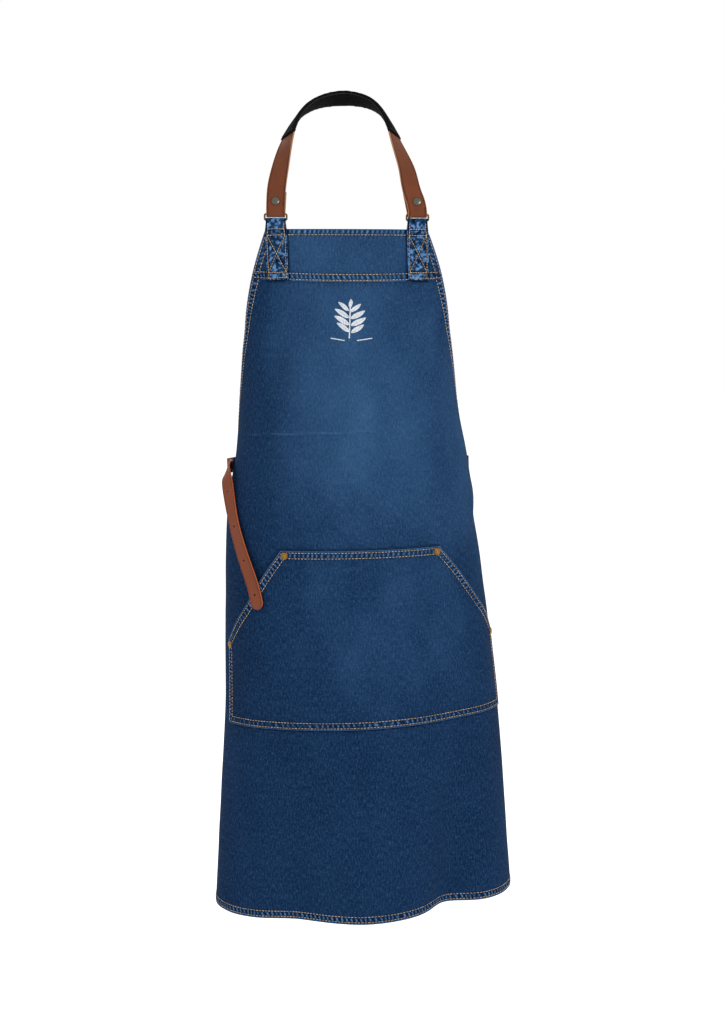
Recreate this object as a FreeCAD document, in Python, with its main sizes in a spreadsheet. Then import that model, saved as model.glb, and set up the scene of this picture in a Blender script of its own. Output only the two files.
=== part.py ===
"""Denim bib apron: one leather neck loop with a padded sleeve, two neck rings, the denim body with
yoke, kangaroo pocket and tabs, and two leather waist straps that snap onto rings.

Units are millimetres, +Z up, the apron's front faces -Y and the wearer's right hand is on -X.
The origin is where the neck loop hangs: the middle of the pad's inner side.
"""
import FreeCAD, Part
import Sketcher
import bisect
import math
import os

os.makedirs("parts", exist_ok=True)
Vec = FreeCAD.Vector
doc = FreeCAD.newDocument("apron")

# ---------------------------------------------------------------- driving dimensions
SIZES = {
    "bib_top_drop": 183,        # from the pad's inner side down to the bib's top edge
    "body_length": 919,         # bib top to hem, along the drop
    "cloth_thick": 1.2,
    "sewn_gap": 0.4,            # room between layers that are sewn together
    "fit_gap": 0.3,             # room between pieces that turn on each other
    "neck_leather": 2.4,
    "neck_width": 25,
    "waist_leather": 2.0,
    "waist_width": 20,
    "waist_drop": 317,          # drop of the waist corners
    "hole_radius": 1.5,
    "hole_pitch": 50,
    "tip_to_hole": 20,
    "ring_span": 186,           # between the middles of the two neck rings
    "ring_depth": -134.5,       # Y of the neck rings' bars
    "ring_low_bar": -171.3,     # Z of the neck rings' lower bars
    "ring_wire": 3,
    "ring_side": 2.4,           # width of a ring's two short bars
    "ring_window": 26.4,
    "neck_pitch": 7.5,          # between the two long bars of a ring
    "waist_pitch": 10.5,
    "waist_window": 26,
    "tab_width": 28.4,
    "tab_narrow": 25.6,         # the loop is gathered to this inside its ring
    "waist_tab_width": 23,
    "tab_length": 66,
    "pad_width": 34,
    "pad_thick": 8,
    "snap_radius": 6,
    "snap_hole": 2.2,
    "rivet_radius": 5,
    "pocket_top": 418,
    "pocket_hand": 543,
    "pocket_bottom": 655,
    "pocket_top_half": 108,
    "pocket_hand_half": 213,
    "pocket_bottom_half": 218,
    "pocket_room": 6,
    "yoke_length": 64,
    "buckle_window": 23.4,
    "buckle_reach": 17,
    "buckle_wire": 3,
}
sheet = doc.addObject("Spreadsheet::Sheet", "sizes")
for row, (alias, number) in enumerate(SIZES.items(), start=1):
    sheet.set(f"A{row}", alias)
    sheet.set(f"B{row}", str(number))
    sheet.setAlias(f"B{row}", alias)
doc.recompute()


def size(alias):
    """A driving dimension as the sheet holds it."""
    return float(getattr(sheet, alias))


# ---------------------------------------------------------------- how the cloth hangs
# Each list gives a measure at a few drops below the bib's top edge: (drop, value).
FRONT = [(0, -140), (135, -163), (295, -182), (430, -190), (650, -190), (925, -186)]
HALF_ACROSS = [(0, 230), (66, 170), (120, 150), (160, 147), (225, 149), (295, 158),
               (360, 168), (430, 175), (540, 183), (650, 191), (925, 210)]
DEPTH = [(0, 60), (66, 90), (120, 106), (225, 120), (430, 125), (925, 125)]
CENTRE = [(0, 0), (120, 3), (225, 6), (295, 10), (360, 12), (430, 18), (540, 26), (650, 33), (925, 36)]
TURN = [(0, 0), (295, 0), (430, 3), (650, 4), (925, 4)]
SLOPE = [(0, 0), (225, 0), (430, 0.016), (650, 0.036), (925, 0.030)]
HALF_CUT = [(0, 106), (66, 132), (120, 157), (180, 186), (240, 218), (288, 256),
            (304, 269), (322, 273), (925, 300)]
# Folds that grow towards the hem: (across, width, height).
FOLDS = [(-5, 55, 14), (118, 42, -34), (-115, 45, -12)]
FOLD_START = 560
ARC_STEPS = 240
ARC_REACH = math.radians(150)


def smooth(keys, place):
    """Cubic curve through the keys, held level beyond its ends."""
    if place <= keys[0][0]:
        return keys[0][1]
    if place >= keys[-1][0]:
        return keys[-1][1]
    last = len(keys) - 1

    def slope(i):
        before, after = keys[max(i - 1, 0)], keys[min(i + 1, last)]
        return (after[1] - before[1]) / (after[0] - before[0])

    i = bisect.bisect_left([key[0] for key in keys], place) - 1
    (x0, y0), (x1, y1) = keys[i], keys[i + 1]
    span = x1 - x0
    f = (place - x0) / span
    start, end = slope(i) * span, slope(i + 1) * span
    return ((2*f**3 - 3*f**2 + 1) * y0 + (f**3 - 2*f**2 + f) * start
            + (3*f**2 - 2*f**3) * y1 + (f**3 - f**2) * end)


arc_tables = {}


def section_angle(across, half, depth):
    """Angle on the ellipse where the arc from its front middle is `across` long."""
    key = (round(half, 3), round(depth, 3))
    if key not in arc_tables:
        step = ARC_REACH / ARC_STEPS
        table = [0.0]
        for i in range(ARC_STEPS):
            angle = (i + 0.5) * step
            table.append(table[-1] + math.hypot(half * math.cos(angle), depth * math.sin(angle)) * step)
        arc_tables[key] = table
    table = arc_tables[key]
    i = min(bisect.bisect_right(table, abs(across)) - 1, ARC_STEPS - 1)
    part = (abs(across) - table[i]) / (table[i + 1] - table[i])
    return math.copysign((i + part) * ARC_REACH / ARC_STEPS, across)


def fold_height(across, drop):
    """How far the skirt's folds stand out of its plain section."""
    if drop <= FOLD_START:
        return 0.0
    grown = ((drop - FOLD_START) / (size("body_length") - FOLD_START)) ** 1.3
    return grown * sum(height * math.exp(-((across - middle) / width) ** 2)
                       for middle, width, height in FOLDS)


def cloth(across, drop, lift=0.0):
    """Point over flat place (across, drop), `lift` in front of the body panel's outer face."""
    half, depth = smooth(HALF_ACROSS, drop), smooth(DEPTH, drop)
    angle = section_angle(across, half, depth)
    across_x, back_y = half * math.sin(angle), depth * (1 - math.cos(angle))
    norm_x, norm_y = depth * math.sin(angle), -half * math.cos(angle)
    out = (lift + fold_height(across, drop)) / math.hypot(norm_x, norm_y)
    across_x += out * norm_x
    back_y += out * norm_y
    turn = math.radians(smooth(TURN, drop))
    x = across_x * math.cos(turn) - back_y * math.sin(turn)
    y = across_x * math.sin(turn) + back_y * math.cos(turn)
    z = -size("bib_top_drop") - drop + smooth(SLOPE, drop) * x
    return Vec(smooth(CENTRE, drop) + x, smooth(FRONT, drop) + y, z)


def cloth_normal(across, drop):
    """Unit vector out of the cloth's front."""
    side = cloth(across + 1, drop) - cloth(across - 1, drop)
    down = cloth(across, drop + 1) - cloth(across, drop - 1)
    return down.cross(side).normalize()


# ---------------------------------------------------------------- building helpers
def keep(name, shape, placement=FreeCAD.Placement()):
    """A part feature with a shape of its own."""
    feature = doc.addObject("Part::Feature", name)
    feature.Label = name
    feature.Shape = shape
    feature.Placement = placement
    return feature


def skin(rows):
    """Smooth face through a grid of points."""
    surface = Part.BSplineSurface()
    surface.interpolate(rows)
    return surface.toShape()


def slab(outer, inner):
    """Solid between two grids of points with the same layout."""
    front, back = skin(outer), skin(inner)
    walls = [Part.makeRuledSurface(near, far) for near, far in zip(front.Edges, back.Edges)]
    shell = Part.makeShell([front, back] + walls)
    shell.sewShape(0.01)
    solid = Part.makeSolid(shell)
    if solid.Volume < 0:
        solid.reverse()
    return solid


def cloth_slab(half_at, drops, columns, lift_at, thick, sag_at=None):
    """Cloth piece over the body: `lift_at` gives its inner side's lift, `sag_at` how far a row curves down."""
    grids = []
    for extra in (thick, 0.0):
        rows = []
        for drop in drops:
            row = []
            for i in range(columns + 1):
                share = 2.0 * i / columns - 1.0
                across = share * half_at(drop)
                low = drop + (sag_at(share, drop) if sag_at else 0.0)
                row.append(cloth(across, low, lift_at(across, low) + extra))
            rows.append(row)
        grids.append(rows)
    return slab(grids[0], grids[1])


def steps(first, last, count):
    """`count` + 1 even steps, both ends in."""
    return [first + (last - first) * i / count for i in range(count + 1)]


def section_wire(point, along, out, half_width, half_thick):
    """Strap section: a rectangle across `along`, with `out` as its outer side."""
    wide = along.cross(out).normalize()
    corners = []
    for side_w, side_n in ((-1, -1), (1, -1), (1, 1), (-1, 1)):
        corners.append(point + wide * (side_w * half_width) + out * (side_n * half_thick))
    return Part.makePolygon(corners + [corners[0]])


def stations_of(points, outs):
    """Tangents and square outer normals at each point of a strap's middle line."""
    result = []
    for i, point in enumerate(points):
        before, after = points[max(i - 1, 0)], points[min(i + 1, len(points) - 1)]
        along = (after - before).normalize()
        out = outs[i] - along * outs[i].dot(along)
        result.append((point, along, out.normalize()))
    return result


def ribbon(stations, width_at, thick):
    """Strap solid along its stations; width_at gives its width by station number."""
    wires = [section_wire(p, a, n, width_at(i) / 2.0, thick / 2.0) for i, (p, a, n) in enumerate(stations)]
    return Part.makeLoft(wires, True, True)


def curve_points(route, spacing):
    """Points every `spacing` or so along a smooth curve through a hand-set route."""
    curve = Part.BSplineCurve()
    curve.interpolate([Vec(*point) for point in route])
    count = max(2, int(round(curve.length() / spacing)))
    return curve.discretize(count + 1)


OUT_SMOOTHING = 6


def blend_outs(points, route, outs):
    """Outer normals for points along a curve, turned evenly between those set at the route's points."""
    marks = [min(range(len(points)), key=lambda i: (points[i] - Vec(*r)).Length) for r in route]
    result = []
    for i in range(len(points)):
        k = min(bisect.bisect_right(marks, i), len(marks) - 1) - 1
        f = (i - marks[k]) / max(marks[k + 1] - marks[k], 1)
        result.append(Vec(*outs[k]) * (1 - f) + Vec(*outs[k + 1]) * f)
    for _ in range(OUT_SMOOTHING):
        ends = [result[0]] + result + [result[-1]]
        result = [ends[i] + ends[i + 1] * 2 + ends[i + 2] for i in range(len(result))]
        result = [out.normalize() for out in result]
    return result


def hairpin(bar, away, front, radius, flap, rise, swerve=Vec(0, 0, 0)):
    """Middle line of a strap folded round a bar: the flap's end first, the front layer last.

    The front layer bends sideways in its own plane and ends `swerve` off the straight line.
    """
    points, outs = [], []
    for f in steps(1.0, 0.0, 4):
        points.append(bar + away * (flap * f) - front * radius)
        outs.append(front * -1.0)
    for angle in steps(15, 165, 10):
        a = math.radians(angle)
        radial = away * -math.sin(a) - front * math.cos(a)
        points.append(bar + radial * radius)
        outs.append(radial)
    for f in steps(0.0, 1.0, 4):
        points.append(bar + away * (rise * f) + front * radius + swerve * (f * f))
        outs.append(front * 1.0)
    return points, outs


def frame_at(origin, x_axis, z_axis):
    """Placement that carries local X and Z onto two square directions."""
    y_axis = z_axis.cross(x_axis)
    matrix = FreeCAD.Matrix(x_axis.x, y_axis.x, z_axis.x, origin.x,
                            x_axis.y, y_axis.y, z_axis.y, origin.y,
                            x_axis.z, y_axis.z, z_axis.z, origin.z,
                            0, 0, 0, 1)
    return FreeCAD.Placement(matrix)


def square_to(direction):
    """Any unit vector square to a direction."""
    other = Vec(0, 0, 1) if abs(direction.z) < 0.8 else Vec(1, 0, 0)
    return direction.cross(other).normalize()


# ---------------------------------------------------------------- sketches and turned pieces
def origin_plane(body, role):
    return next(item for item in body.Origin.OriginFeatures if item.Role == role)


def body_sketch(body, name, role):
    sketch = body.newObject("Sketcher::SketchObject", name)
    sketch.AttachmentSupport = (origin_plane(body, role), [""])
    sketch.MapMode = "FlatFace"
    return sketch


def add_rectangle(sketch, width, height, middle="0"):
    """Rectangle centred on the sketch's vertical axis; sizes and middle height are expressions."""
    first = sketch.GeometryCount
    corners = [Vec(-5, -5, 0), Vec(5, -5, 0), Vec(5, 5, 0), Vec(-5, 5, 0)]
    for i in range(4):
        sketch.addGeometry(Part.LineSegment(corners[i], corners[(i + 1) % 4]), False)
    for i in range(4):
        sketch.addConstraint(Sketcher.Constraint("Coincident", first + i, 2, first + (i + 1) % 4, 1))
    for i in (0, 2):
        sketch.addConstraint(Sketcher.Constraint("Horizontal", first + i))
    for i in (1, 3):
        sketch.addConstraint(Sketcher.Constraint("Vertical", first + i))
    places = (("DistanceX", 1, f"({width}) / 2"), ("DistanceX", 0, f"-({width}) / 2"),
              ("DistanceY", 0, f"({middle}) - ({height}) / 2"), ("DistanceY", 2, f"({middle}) + ({height}) / 2"))
    for kind, line, rule in places:
        number = sketch.addConstraint(Sketcher.Constraint(kind, -1, 1, first + line, 1, 1.0))
        sketch.setExpression(f"Constraints[{number}]", rule)


def turned_profile(name, corners):
    """Closed profile for a turned piece: (radius, height) pairs, each a number or an expression."""
    sketch = doc.addObject("Sketcher::SketchObject", name)
    for i in range(len(corners)):
        j = (i + 1) % len(corners)
        sketch.addGeometry(Part.LineSegment(Vec(10 + 5 * math.cos(i), 5 * math.sin(i), 0),
                                            Vec(10 + 5 * math.cos(j), 5 * math.sin(j), 0)), False)
    for i in range(len(corners)):
        sketch.addConstraint(Sketcher.Constraint("Coincident", i, 2, (i + 1) % len(corners), 1))
    for i, pair in enumerate(corners):
        for kind, axis, rule in (("DistanceX", -2, pair[0]), ("DistanceY", -1, pair[1])):
            if rule == 0:
                sketch.addConstraint(Sketcher.Constraint("PointOnObject", i, 1, axis))
                continue
            number = sketch.addConstraint(Sketcher.Constraint(kind, -1, 1, i, 1, 1.0))
            sketch.setExpression(f"Constraints[{number}]", str(rule))
    return sketch


def turned(name, profile, places):
    """Turned piece, or a group of the same piece, with its axis along each place's direction."""
    copies = []
    for i, (origin, direction) in enumerate(places):
        copy_name = name if len(places) == 1 else f"{name}_{i + 1}"
        copy = doc.addObject("Part::Revolution", copy_name)
        copy.Source = profile
        copy.Axis = Vec(0, 1, 0)
        copy.Base = Vec(0, 0, 0)
        copy.Angle = 360
        copy.Solid = True
        side = square_to(direction)
        copy.Placement = frame_at(origin, side, side.cross(direction))
        copies.append(copy)
    if len(copies) == 1:
        copies[0].Label = name
        return copies[0]
    group = doc.addObject("Part::Compound", name)
    group.Links = copies
    group.Label = name
    return group


nodes = {}


def add_node(feature):
    nodes[feature.Label] = feature
    return feature


# ---------------------------------------------------------------- neck rings
wire_radius = size("ring_wire") / 2.0
low_bars = {side: Vec(sign * size("ring_span") / 2.0, size("ring_depth"), size("ring_low_bar"))
            for side, sign in (("left", -1), ("right", 1))}
high_bars = {side: bar + Vec(0, 0, size("neck_pitch")) for side, bar in low_bars.items()}


RING_ROUNDING = 1.15


def make_ring(name, window, pitch, first_bar, second_bar, bar_direction):
    """Rectangular ring with rounded bars; its two long bars lie on the given centres."""
    body = doc.addObject("PartDesign::Body", name)
    body.Label = name
    sketch = body_sketch(body, f"{name}_outline", "XZ_Plane")
    add_rectangle(sketch, f"sizes.{window} + 2 * sizes.ring_side", f"sizes.{pitch} + sizes.ring_wire")
    add_rectangle(sketch, f"sizes.{window}", f"sizes.{pitch} - sizes.ring_wire")
    pad = body.newObject("PartDesign::Pad", f"{name}_pad")
    pad.Profile = sketch
    pad.setExpression("Length", "sizes.ring_wire")
    pad.Midplane = True
    doc.recompute()
    rounding = body.newObject("PartDesign::Fillet", f"{name}_rounding")
    rounding.Base = (pad, [f"Edge{i + 1}" for i in range(len(pad.Shape.Edges))])
    rounding.Radius = RING_ROUNDING
    body.Placement = frame_at((first_bar + second_bar) * 0.5, bar_direction,
                              (second_bar - first_bar).normalize())
    return add_node(body)


for side in ("left", "right"):
    make_ring(f"neck_ring_{side}", "ring_window", "neck_pitch", low_bars[side], high_bars[side], Vec(1, 0, 0))

# ---------------------------------------------------------------- neck strap and its pad
LEAN = math.radians(24)
up_strap = Vec(0, math.sin(LEAN), math.cos(LEAN))
front_strap = Vec(0, -math.cos(LEAN), math.sin(LEAN))
neck_fold = wire_radius + size("fit_gap") + size("neck_leather") / 2.0
NECK_FLAP = 34
NECK_RISE = 23.4
NECK_STRAIGHT = 4      # the strap keeps its direction this far above the fold's last point
NECK_SWERVES = {"left": Vec(0.6, 0, 0), "right": Vec(-3.7, 0, 0)}
NECK_ROUTE = [(-87, -104, -104), (-81, -84, -77), (-73, -62, -51), (-61, -41, -27), (-37, -16, -6), (-2, 1, 3.2),
              (34, -15, -3), (56, -41, -24), (66, -62, -49), (74, -84, -76), (82, -104, -104)]
NECK_OUTS = [(-.30, -.76, .50), (-.52, -.52, .60), (-.70, -.20, .66), (-.70, .10, .70), (-.42, .42, .80),
             (0, .60, .80),
             (.42, .42, .80), (.70, .10, .70), (.70, -.20, .66), (.52, -.52, .60), (.30, -.76, .50)]

ends, starts = {}, {}
for side, swerve in NECK_SWERVES.items():
    ends[side] = hairpin(high_bars[side], up_strap, front_strap, neck_fold, NECK_FLAP, NECK_RISE, swerve)
    last = ends[side][0][-1]
    onward = up_strap * NECK_STRAIGHT + swerve * (2 * NECK_STRAIGHT / NECK_RISE)
    starts[side] = [tuple(last), tuple(last + onward)]
route = starts["left"] + NECK_ROUTE + starts["right"][::-1]
outs = [tuple(front_strap)] * 2 + NECK_OUTS + [tuple(front_strap)] * 2
arch = curve_points(route, 7)
arch_outs = blend_outs(arch, route, outs)
line = ends["left"][0] + arch[1:-1] + ends["right"][0][::-1]
line_outs = ends["left"][1] + arch_outs[1:-1] + ends["right"][1][::-1]
neck_stations = stations_of(line, line_outs)
neck_solid = ribbon(neck_stations, lambda i: size("neck_width"), size("neck_leather"))

SNAP_RISE = 17
neck_snaps = []
for side in ("left", "right"):
    face = high_bars[side] + up_strap * SNAP_RISE + front_strap * (neck_fold + size("neck_leather") / 2.0)
    neck_snaps.append((face, front_strap))


def drill(solid, face, direction, radius, deep):
    """Round hole from a face point into the solid."""
    return solid.cut(Part.makeCylinder(radius, deep + 4.0, face + direction * 2.0, direction * -1.0))


for face, direction in neck_snaps:
    neck_solid = drill(neck_solid, face, direction, size("snap_hole"), 2 * neck_fold + size("neck_leather"))
add_node(keep("neck_strap", neck_solid))

PAD_SIDES = 16
PAD_ENDS_ABOVE, PAD_ENDS_BEHIND = -58, -75       # Z and Y where the pad ends on the strap
under_pad = [i for i, s in enumerate(neck_stations) if s[0].z > PAD_ENDS_ABOVE and s[0].y > PAD_ENDS_BEHIND]
pad_stations = neck_stations[under_pad[0]:under_pad[-1] + 1]


def pad_wire(station, width, thick):
    """Rounded section round the strap, as a many-sided ring."""
    point, along, out = station
    wide = along.cross(out).normalize()
    corners = []
    for i in range(PAD_SIDES):
        a = 2 * math.pi * (i + 0.5) / PAD_SIDES
        w = math.copysign(abs(math.cos(a)) ** 0.5, math.cos(a)) * width / 2.0
        n = math.copysign(abs(math.sin(a)) ** 0.8, math.sin(a)) * thick / 2.0
        corners.append(point + wide * w + out * n)
    return Part.makePolygon(corners + [corners[0]])


pad_outer = Part.makeLoft([pad_wire(s, size("pad_width"), size("pad_thick")) for s in pad_stations], True, True)
channel_gap = 2 * size("fit_gap")
longer = neck_stations[under_pad[0] - 1:under_pad[-1] + 2]
channel = ribbon(longer, lambda i: size("neck_width") + channel_gap, size("neck_leather") + channel_gap)
add_node(keep("neck_pad", pad_outer.cut(channel)))

# ---------------------------------------------------------------- snap profiles
# Heights run from the outer face of the strap's front layer; the layers are a bar apart.


def snap_profiles(kind, leather):
    """Profiles of a snap's four pieces for one thickness of leather."""
    back = f"(sizes.ring_wire + 2 * sizes.fit_gap + 2 * sizes.{leather})"
    front = f"sizes.{leather}"
    radius = "sizes.snap_radius"
    cap = [(0, f"-{front} - 0.6"), (1.9, f"-{front} - 0.6"), (1.9, 0), (f"{radius} - 0.3", 0), (radius, 0.5),
           (f"{radius} * 0.93", 1.2), (f"{radius} * 0.75", 1.9), (f"{radius} * 0.45", 2.4), (0, 2.6)]
    socket = [(2.0, f"-{front} - 0.05"), (2.0, f"-{front} - 1.6"), (5, f"-{front} - 1.6"),
              (5, f"-{front} - 0.05")]
    stud = [(0, f"-{front} - 0.9"), (1.8, f"-{front} - 0.9"), (1.8, f"-{front} - 2.4"),
            (5, f"-{front} - 2.4"), (5, f"-{front} - 3.5"), (0, f"-{front} - 3.5")]
    post = [(0, f"-{front} - 3.55"), (1.9, f"-{front} - 3.55"), (1.9, f"-{back} - 0.05"),
            (5.5, f"-{back} - 0.05"), (5, f"-{back} - 1.2"), (0, f"-{back} - 1.2")]
    return {piece: turned_profile(f"{kind}_{piece}_profile", corners)
            for piece, corners in (("cap", cap), ("socket", socket), ("stud", stud), ("post", post))}


neck_profiles = snap_profiles("neck", "neck_leather")
waist_profiles = snap_profiles("waist", "waist_leather")
for piece, profile in neck_profiles.items():
    add_node(turned(f"neck_snap_{piece}s", profile, neck_snaps))


def half_cut(drop):
    return smooth(HALF_CUT, drop)


# ---------------------------------------------------------------- denim body
thick = size("cloth_thick")
sewn = size("sewn_gap")
add_node(keep("body_panel", cloth_slab(half_cut, steps(0, size("body_length"), 44), 28,
                                       lambda a, d: -thick, thick)))

YOKE_INSET = 0.8
YOKE_SAG = 5.0          # how far the yoke's seam curves down in its middle


def yoke_sag(share, drop):
    return YOKE_SAG * (1 - share ** 2) * drop / size("yoke_length")


add_node(keep("bib_yoke", cloth_slab(lambda d: half_cut(d) - YOKE_INSET, steps(1, size("yoke_length"), 6), 20,
                                     lambda a, d: sewn, thick, yoke_sag)))


def segment_gap(across, drop, start, end):
    """Distance in the flat cloth from a point to a sewn line."""
    dx, dy = end[0] - start[0], end[1] - start[1]
    f = ((across - start[0]) * dx + (drop - start[1]) * dy) / (dx * dx + dy * dy)
    f = max(0.0, min(1.0, f))
    return math.hypot(across - start[0] - f * dx, drop - start[1] - f * dy)


top, hand, bottom = (size(f"pocket_{n}") for n in ("top", "hand", "bottom"))
top_half, hand_half, bottom_half = (size(f"pocket_{n}_half") for n in ("top", "hand", "bottom"))
SEWN_LINES = [((-top_half, top), (top_half, top)), ((-bottom_half, bottom), (bottom_half, bottom)),
              ((hand_half, hand), (bottom_half, bottom)), ((-hand_half, hand), (-bottom_half, bottom))]
POCKET_RISE = 55
POCKET_SEAM_LIFT = 5 * sewn


def pocket_lift(across, drop):
    """Room behind the pocket: none where it is sewn down, most in its middle and at its mouths."""
    gap = min(segment_gap(across, drop, start, end) for start, end in SEWN_LINES)
    f = min(1.0, gap / POCKET_RISE)
    return POCKET_SEAM_LIFT + size("pocket_room") * f * f * (3 - 2 * f)


def pocket_half(drop):
    """Half width of the pocket: slanted mouths down to the hand rivets, then sewn sides."""
    if drop < hand:
        return top_half + (hand_half - top_half) * (drop - top) / (hand - top)
    return hand_half + (bottom_half - hand_half) * (drop - hand) / (bottom - hand)


pocket_drops = steps(top, hand, 18) + steps(hand, bottom, 16)[1:]
add_node(keep("pocket_panel", cloth_slab(pocket_half, pocket_drops, 28, pocket_lift, thick)))

# ---------------------------------------------------------------- pocket rivets
RIVET_INSET = 7
RIVET_SEAT = 0.7
rivet_spots = [(sign * (half - RIVET_INSET), drop + RIVET_INSET) for sign in (-1, 1)
               for half, drop in ((top_half, top), (hand_half, hand))]
rivet_places = []
for across, drop in rivet_spots:
    normal = cloth_normal(across, drop)
    rivet_places.append((cloth(across, drop, pocket_lift(across, drop) + thick + RIVET_SEAT), normal))
cap_corners = [(0, 0), ("sizes.rivet_radius", 0), ("sizes.rivet_radius", 0.7),
               ("sizes.rivet_radius * 0.8", 1.5), ("sizes.rivet_radius * 0.4", 1.9), (0, 1.9)]
add_node(turned("pocket_rivet_caps", turned_profile("rivet_cap_profile", cap_corners), rivet_places))
back_places = [(cloth(across, drop, -thick - RIVET_SEAT / 2), cloth_normal(across, drop)) for across, drop in rivet_spots]
back_corners = [(0, 0), ("sizes.rivet_radius * 0.8", 0), ("sizes.rivet_radius * 0.7", -1.0), (0, -1.4)]
add_node(turned("pocket_rivet_backs", turned_profile("rivet_back_profile", back_corners), back_places))

# ---------------------------------------------------------------- neck tabs: denim loops round the rings
tab_fold = wire_radius + size("fit_gap") + thick / 2.0
tab_front_lift = 2 * (sewn + thick) - thick / 2.0
tab_back_lift = -thick - sewn - thick / 2.0
TAB_SEWN_STATIONS = 7


def tab_width_at(index, last):
    """Width of a neck tab: full where it is sewn, gathered where it turns round the ring."""
    sewn_side = min(index, last - index)
    if sewn_side < TAB_SEWN_STATIONS - 1:
        return size("tab_width")
    if sewn_side == TAB_SEWN_STATIONS - 1:
        return (size("tab_width") + 2 * size("tab_narrow")) / 3
    return size("tab_narrow")


for side, sign in (("left", -1), ("right", 1)):
    across = sign * size("ring_span") / 2.0
    line, line_outs = [], []
    for drop in steps(size("tab_length"), 2, 6):
        line.append(cloth(across, drop, tab_front_lift))
        line_outs.append(cloth_normal(across, drop))
    bar = low_bars[side]
    for angle in steps(0, 180, 12):
        a = math.radians(angle)
        radial = Vec(0, -math.cos(a), math.sin(a))
        line.append(bar + radial * tab_fold)
        line_outs.append(radial)
    for drop in steps(2, size("tab_length"), 6):
        line.append(cloth(across, drop, tab_back_lift))
        line_outs.append(cloth_normal(across, drop) * -1.0)
    stations = stations_of(line, line_outs)
    last_station = len(stations) - 1
    add_node(keep(f"neck_tab_{side}", ribbon(stations, lambda i, last=last_station: tab_width_at(i, last), thick)))

# ---------------------------------------------------------------- waist tabs, rings and straps
waist_drop = size("waist_drop")
waist_half = half_cut(waist_drop)
WAIST_TAB_REACH = 42
waist_fold = wire_radius + size("fit_gap") + size("waist_leather") / 2.0
inner_bars, outer_bars = {}, {}
edge_lines = {}
for side, sign in (("left", -1), ("right", 1)):
    edge = cloth(sign * waist_half, waist_drop, -thick / 2.0)
    inward = cloth(sign * (waist_half - 4), waist_drop, -thick / 2.0)
    back_along = edge - inward
    back_along.z = 0
    back_along.normalize()
    outward = Vec(-back_along.y * -sign, back_along.x * -sign, 0)
    edge_lines[side] = (edge, back_along, outward)
    inner_bars[side] = edge + back_along * 6.5

    line, line_outs = [], []
    for reach in steps(WAIST_TAB_REACH, 2, 5):
        spot = sign * (waist_half - reach)
        line.append(cloth(spot, waist_drop, sewn + thick / 2.0))
        line_outs.append(cloth_normal(spot, waist_drop))
    for angle in steps(0, 180, 12):
        a = math.radians(angle)
        radial = outward * math.cos(a) + back_along * math.sin(a)
        line.append(inner_bars[side] + radial * tab_fold)
        line_outs.append(radial)
    for reach in steps(2, WAIST_TAB_REACH, 5):
        spot = sign * (waist_half - reach)
        line.append(cloth(spot, waist_drop, tab_back_lift))
        line_outs.append(cloth_normal(spot, waist_drop) * -1.0)
    add_node(keep(f"waist_tab_{side}",
                  ribbon(stations_of(line, line_outs), lambda i: size("waist_tab_width"), thick)))

# The left ring stands out of the cloth and its strap is thrown forward; the right one points inwards.
RIGHT_RING_TURN = math.radians(35)
_, back_along, outward = edge_lines["right"]
ring_directions = {
    "left": edge_lines["left"][2],
    "right": back_along * math.cos(RIGHT_RING_TURN) - outward * math.sin(RIGHT_RING_TURN),
}
for side in ("left", "right"):
    outer_bars[side] = inner_bars[side] + ring_directions[side] * size("waist_pitch")
    make_ring(f"waist_ring_{side}", "waist_window", "waist_pitch", inner_bars[side], outer_bars[side], Vec(0, 0, 1))

WAIST_FLAP = 34
WAIST_RISE = 30


def waist_strap(side, away, front, route, outs, spacing):
    """Stations of a waist strap: folded round its ring, then along its route."""
    points, point_outs = hairpin(outer_bars[side], away, front, waist_fold, WAIST_FLAP, WAIST_RISE)
    route = [tuple(points[-1])] + route
    outs = [tuple(front)] + outs
    run = curve_points(route, spacing)
    run_outs = blend_outs(run, route, outs)
    return stations_of(points + run[1:], point_outs + run_outs[1:])


def station_at(stations, from_end):
    """Point and outer normal a set length back from a strap's end."""
    gone = 0.0
    for i in range(len(stations) - 1, 0, -1):
        step = (stations[i][0] - stations[i - 1][0]).Length
        if gone + step >= from_end:
            f = (from_end - gone) / step
            return stations[i][0] * (1 - f) + stations[i - 1][0] * f, stations[i][2]
        gone += step
    return stations[0][0], stations[0][2]


LEFT_ROUTE = [(-158, -62, -503), (-165, -84, -511), (-161, -99, -526), (-152, -119, -568),
              (-137, -145.5, -620), (-123.5, -165, -661), (-119.5, -170.5, -681)]
LEFT_OUTS = [(-.97, .20, .15), (-.90, -.40, .15), (-.62, -.78, .10), (-.78, -.62, 0),
             (-.66, -.75, 0), (-.60, -.80, 0), (-.60, -.80, 0)]
LEFT_THROW = math.radians(3)
_, back_along, outward = edge_lines["left"]
left_away = back_along * -math.cos(LEFT_THROW) - outward * math.sin(LEFT_THROW)
left_front = outward * math.cos(LEFT_THROW) - back_along * math.sin(LEFT_THROW)
left_stations = waist_strap("left", left_away, left_front, LEFT_ROUTE, LEFT_OUTS, 6)
ROUND_TIP = size("waist_width") / 2.0
tip_point = left_stations[-1][0]


def left_width(i):
    """Full width, rounded off towards the tip."""
    away = (left_stations[i][0] - tip_point).Length
    if away >= ROUND_TIP:
        return size("waist_width")
    return 2.0 * math.sqrt(max(ROUND_TIP ** 2 - (ROUND_TIP - max(away, 0.25)) ** 2, 0.0))


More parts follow.
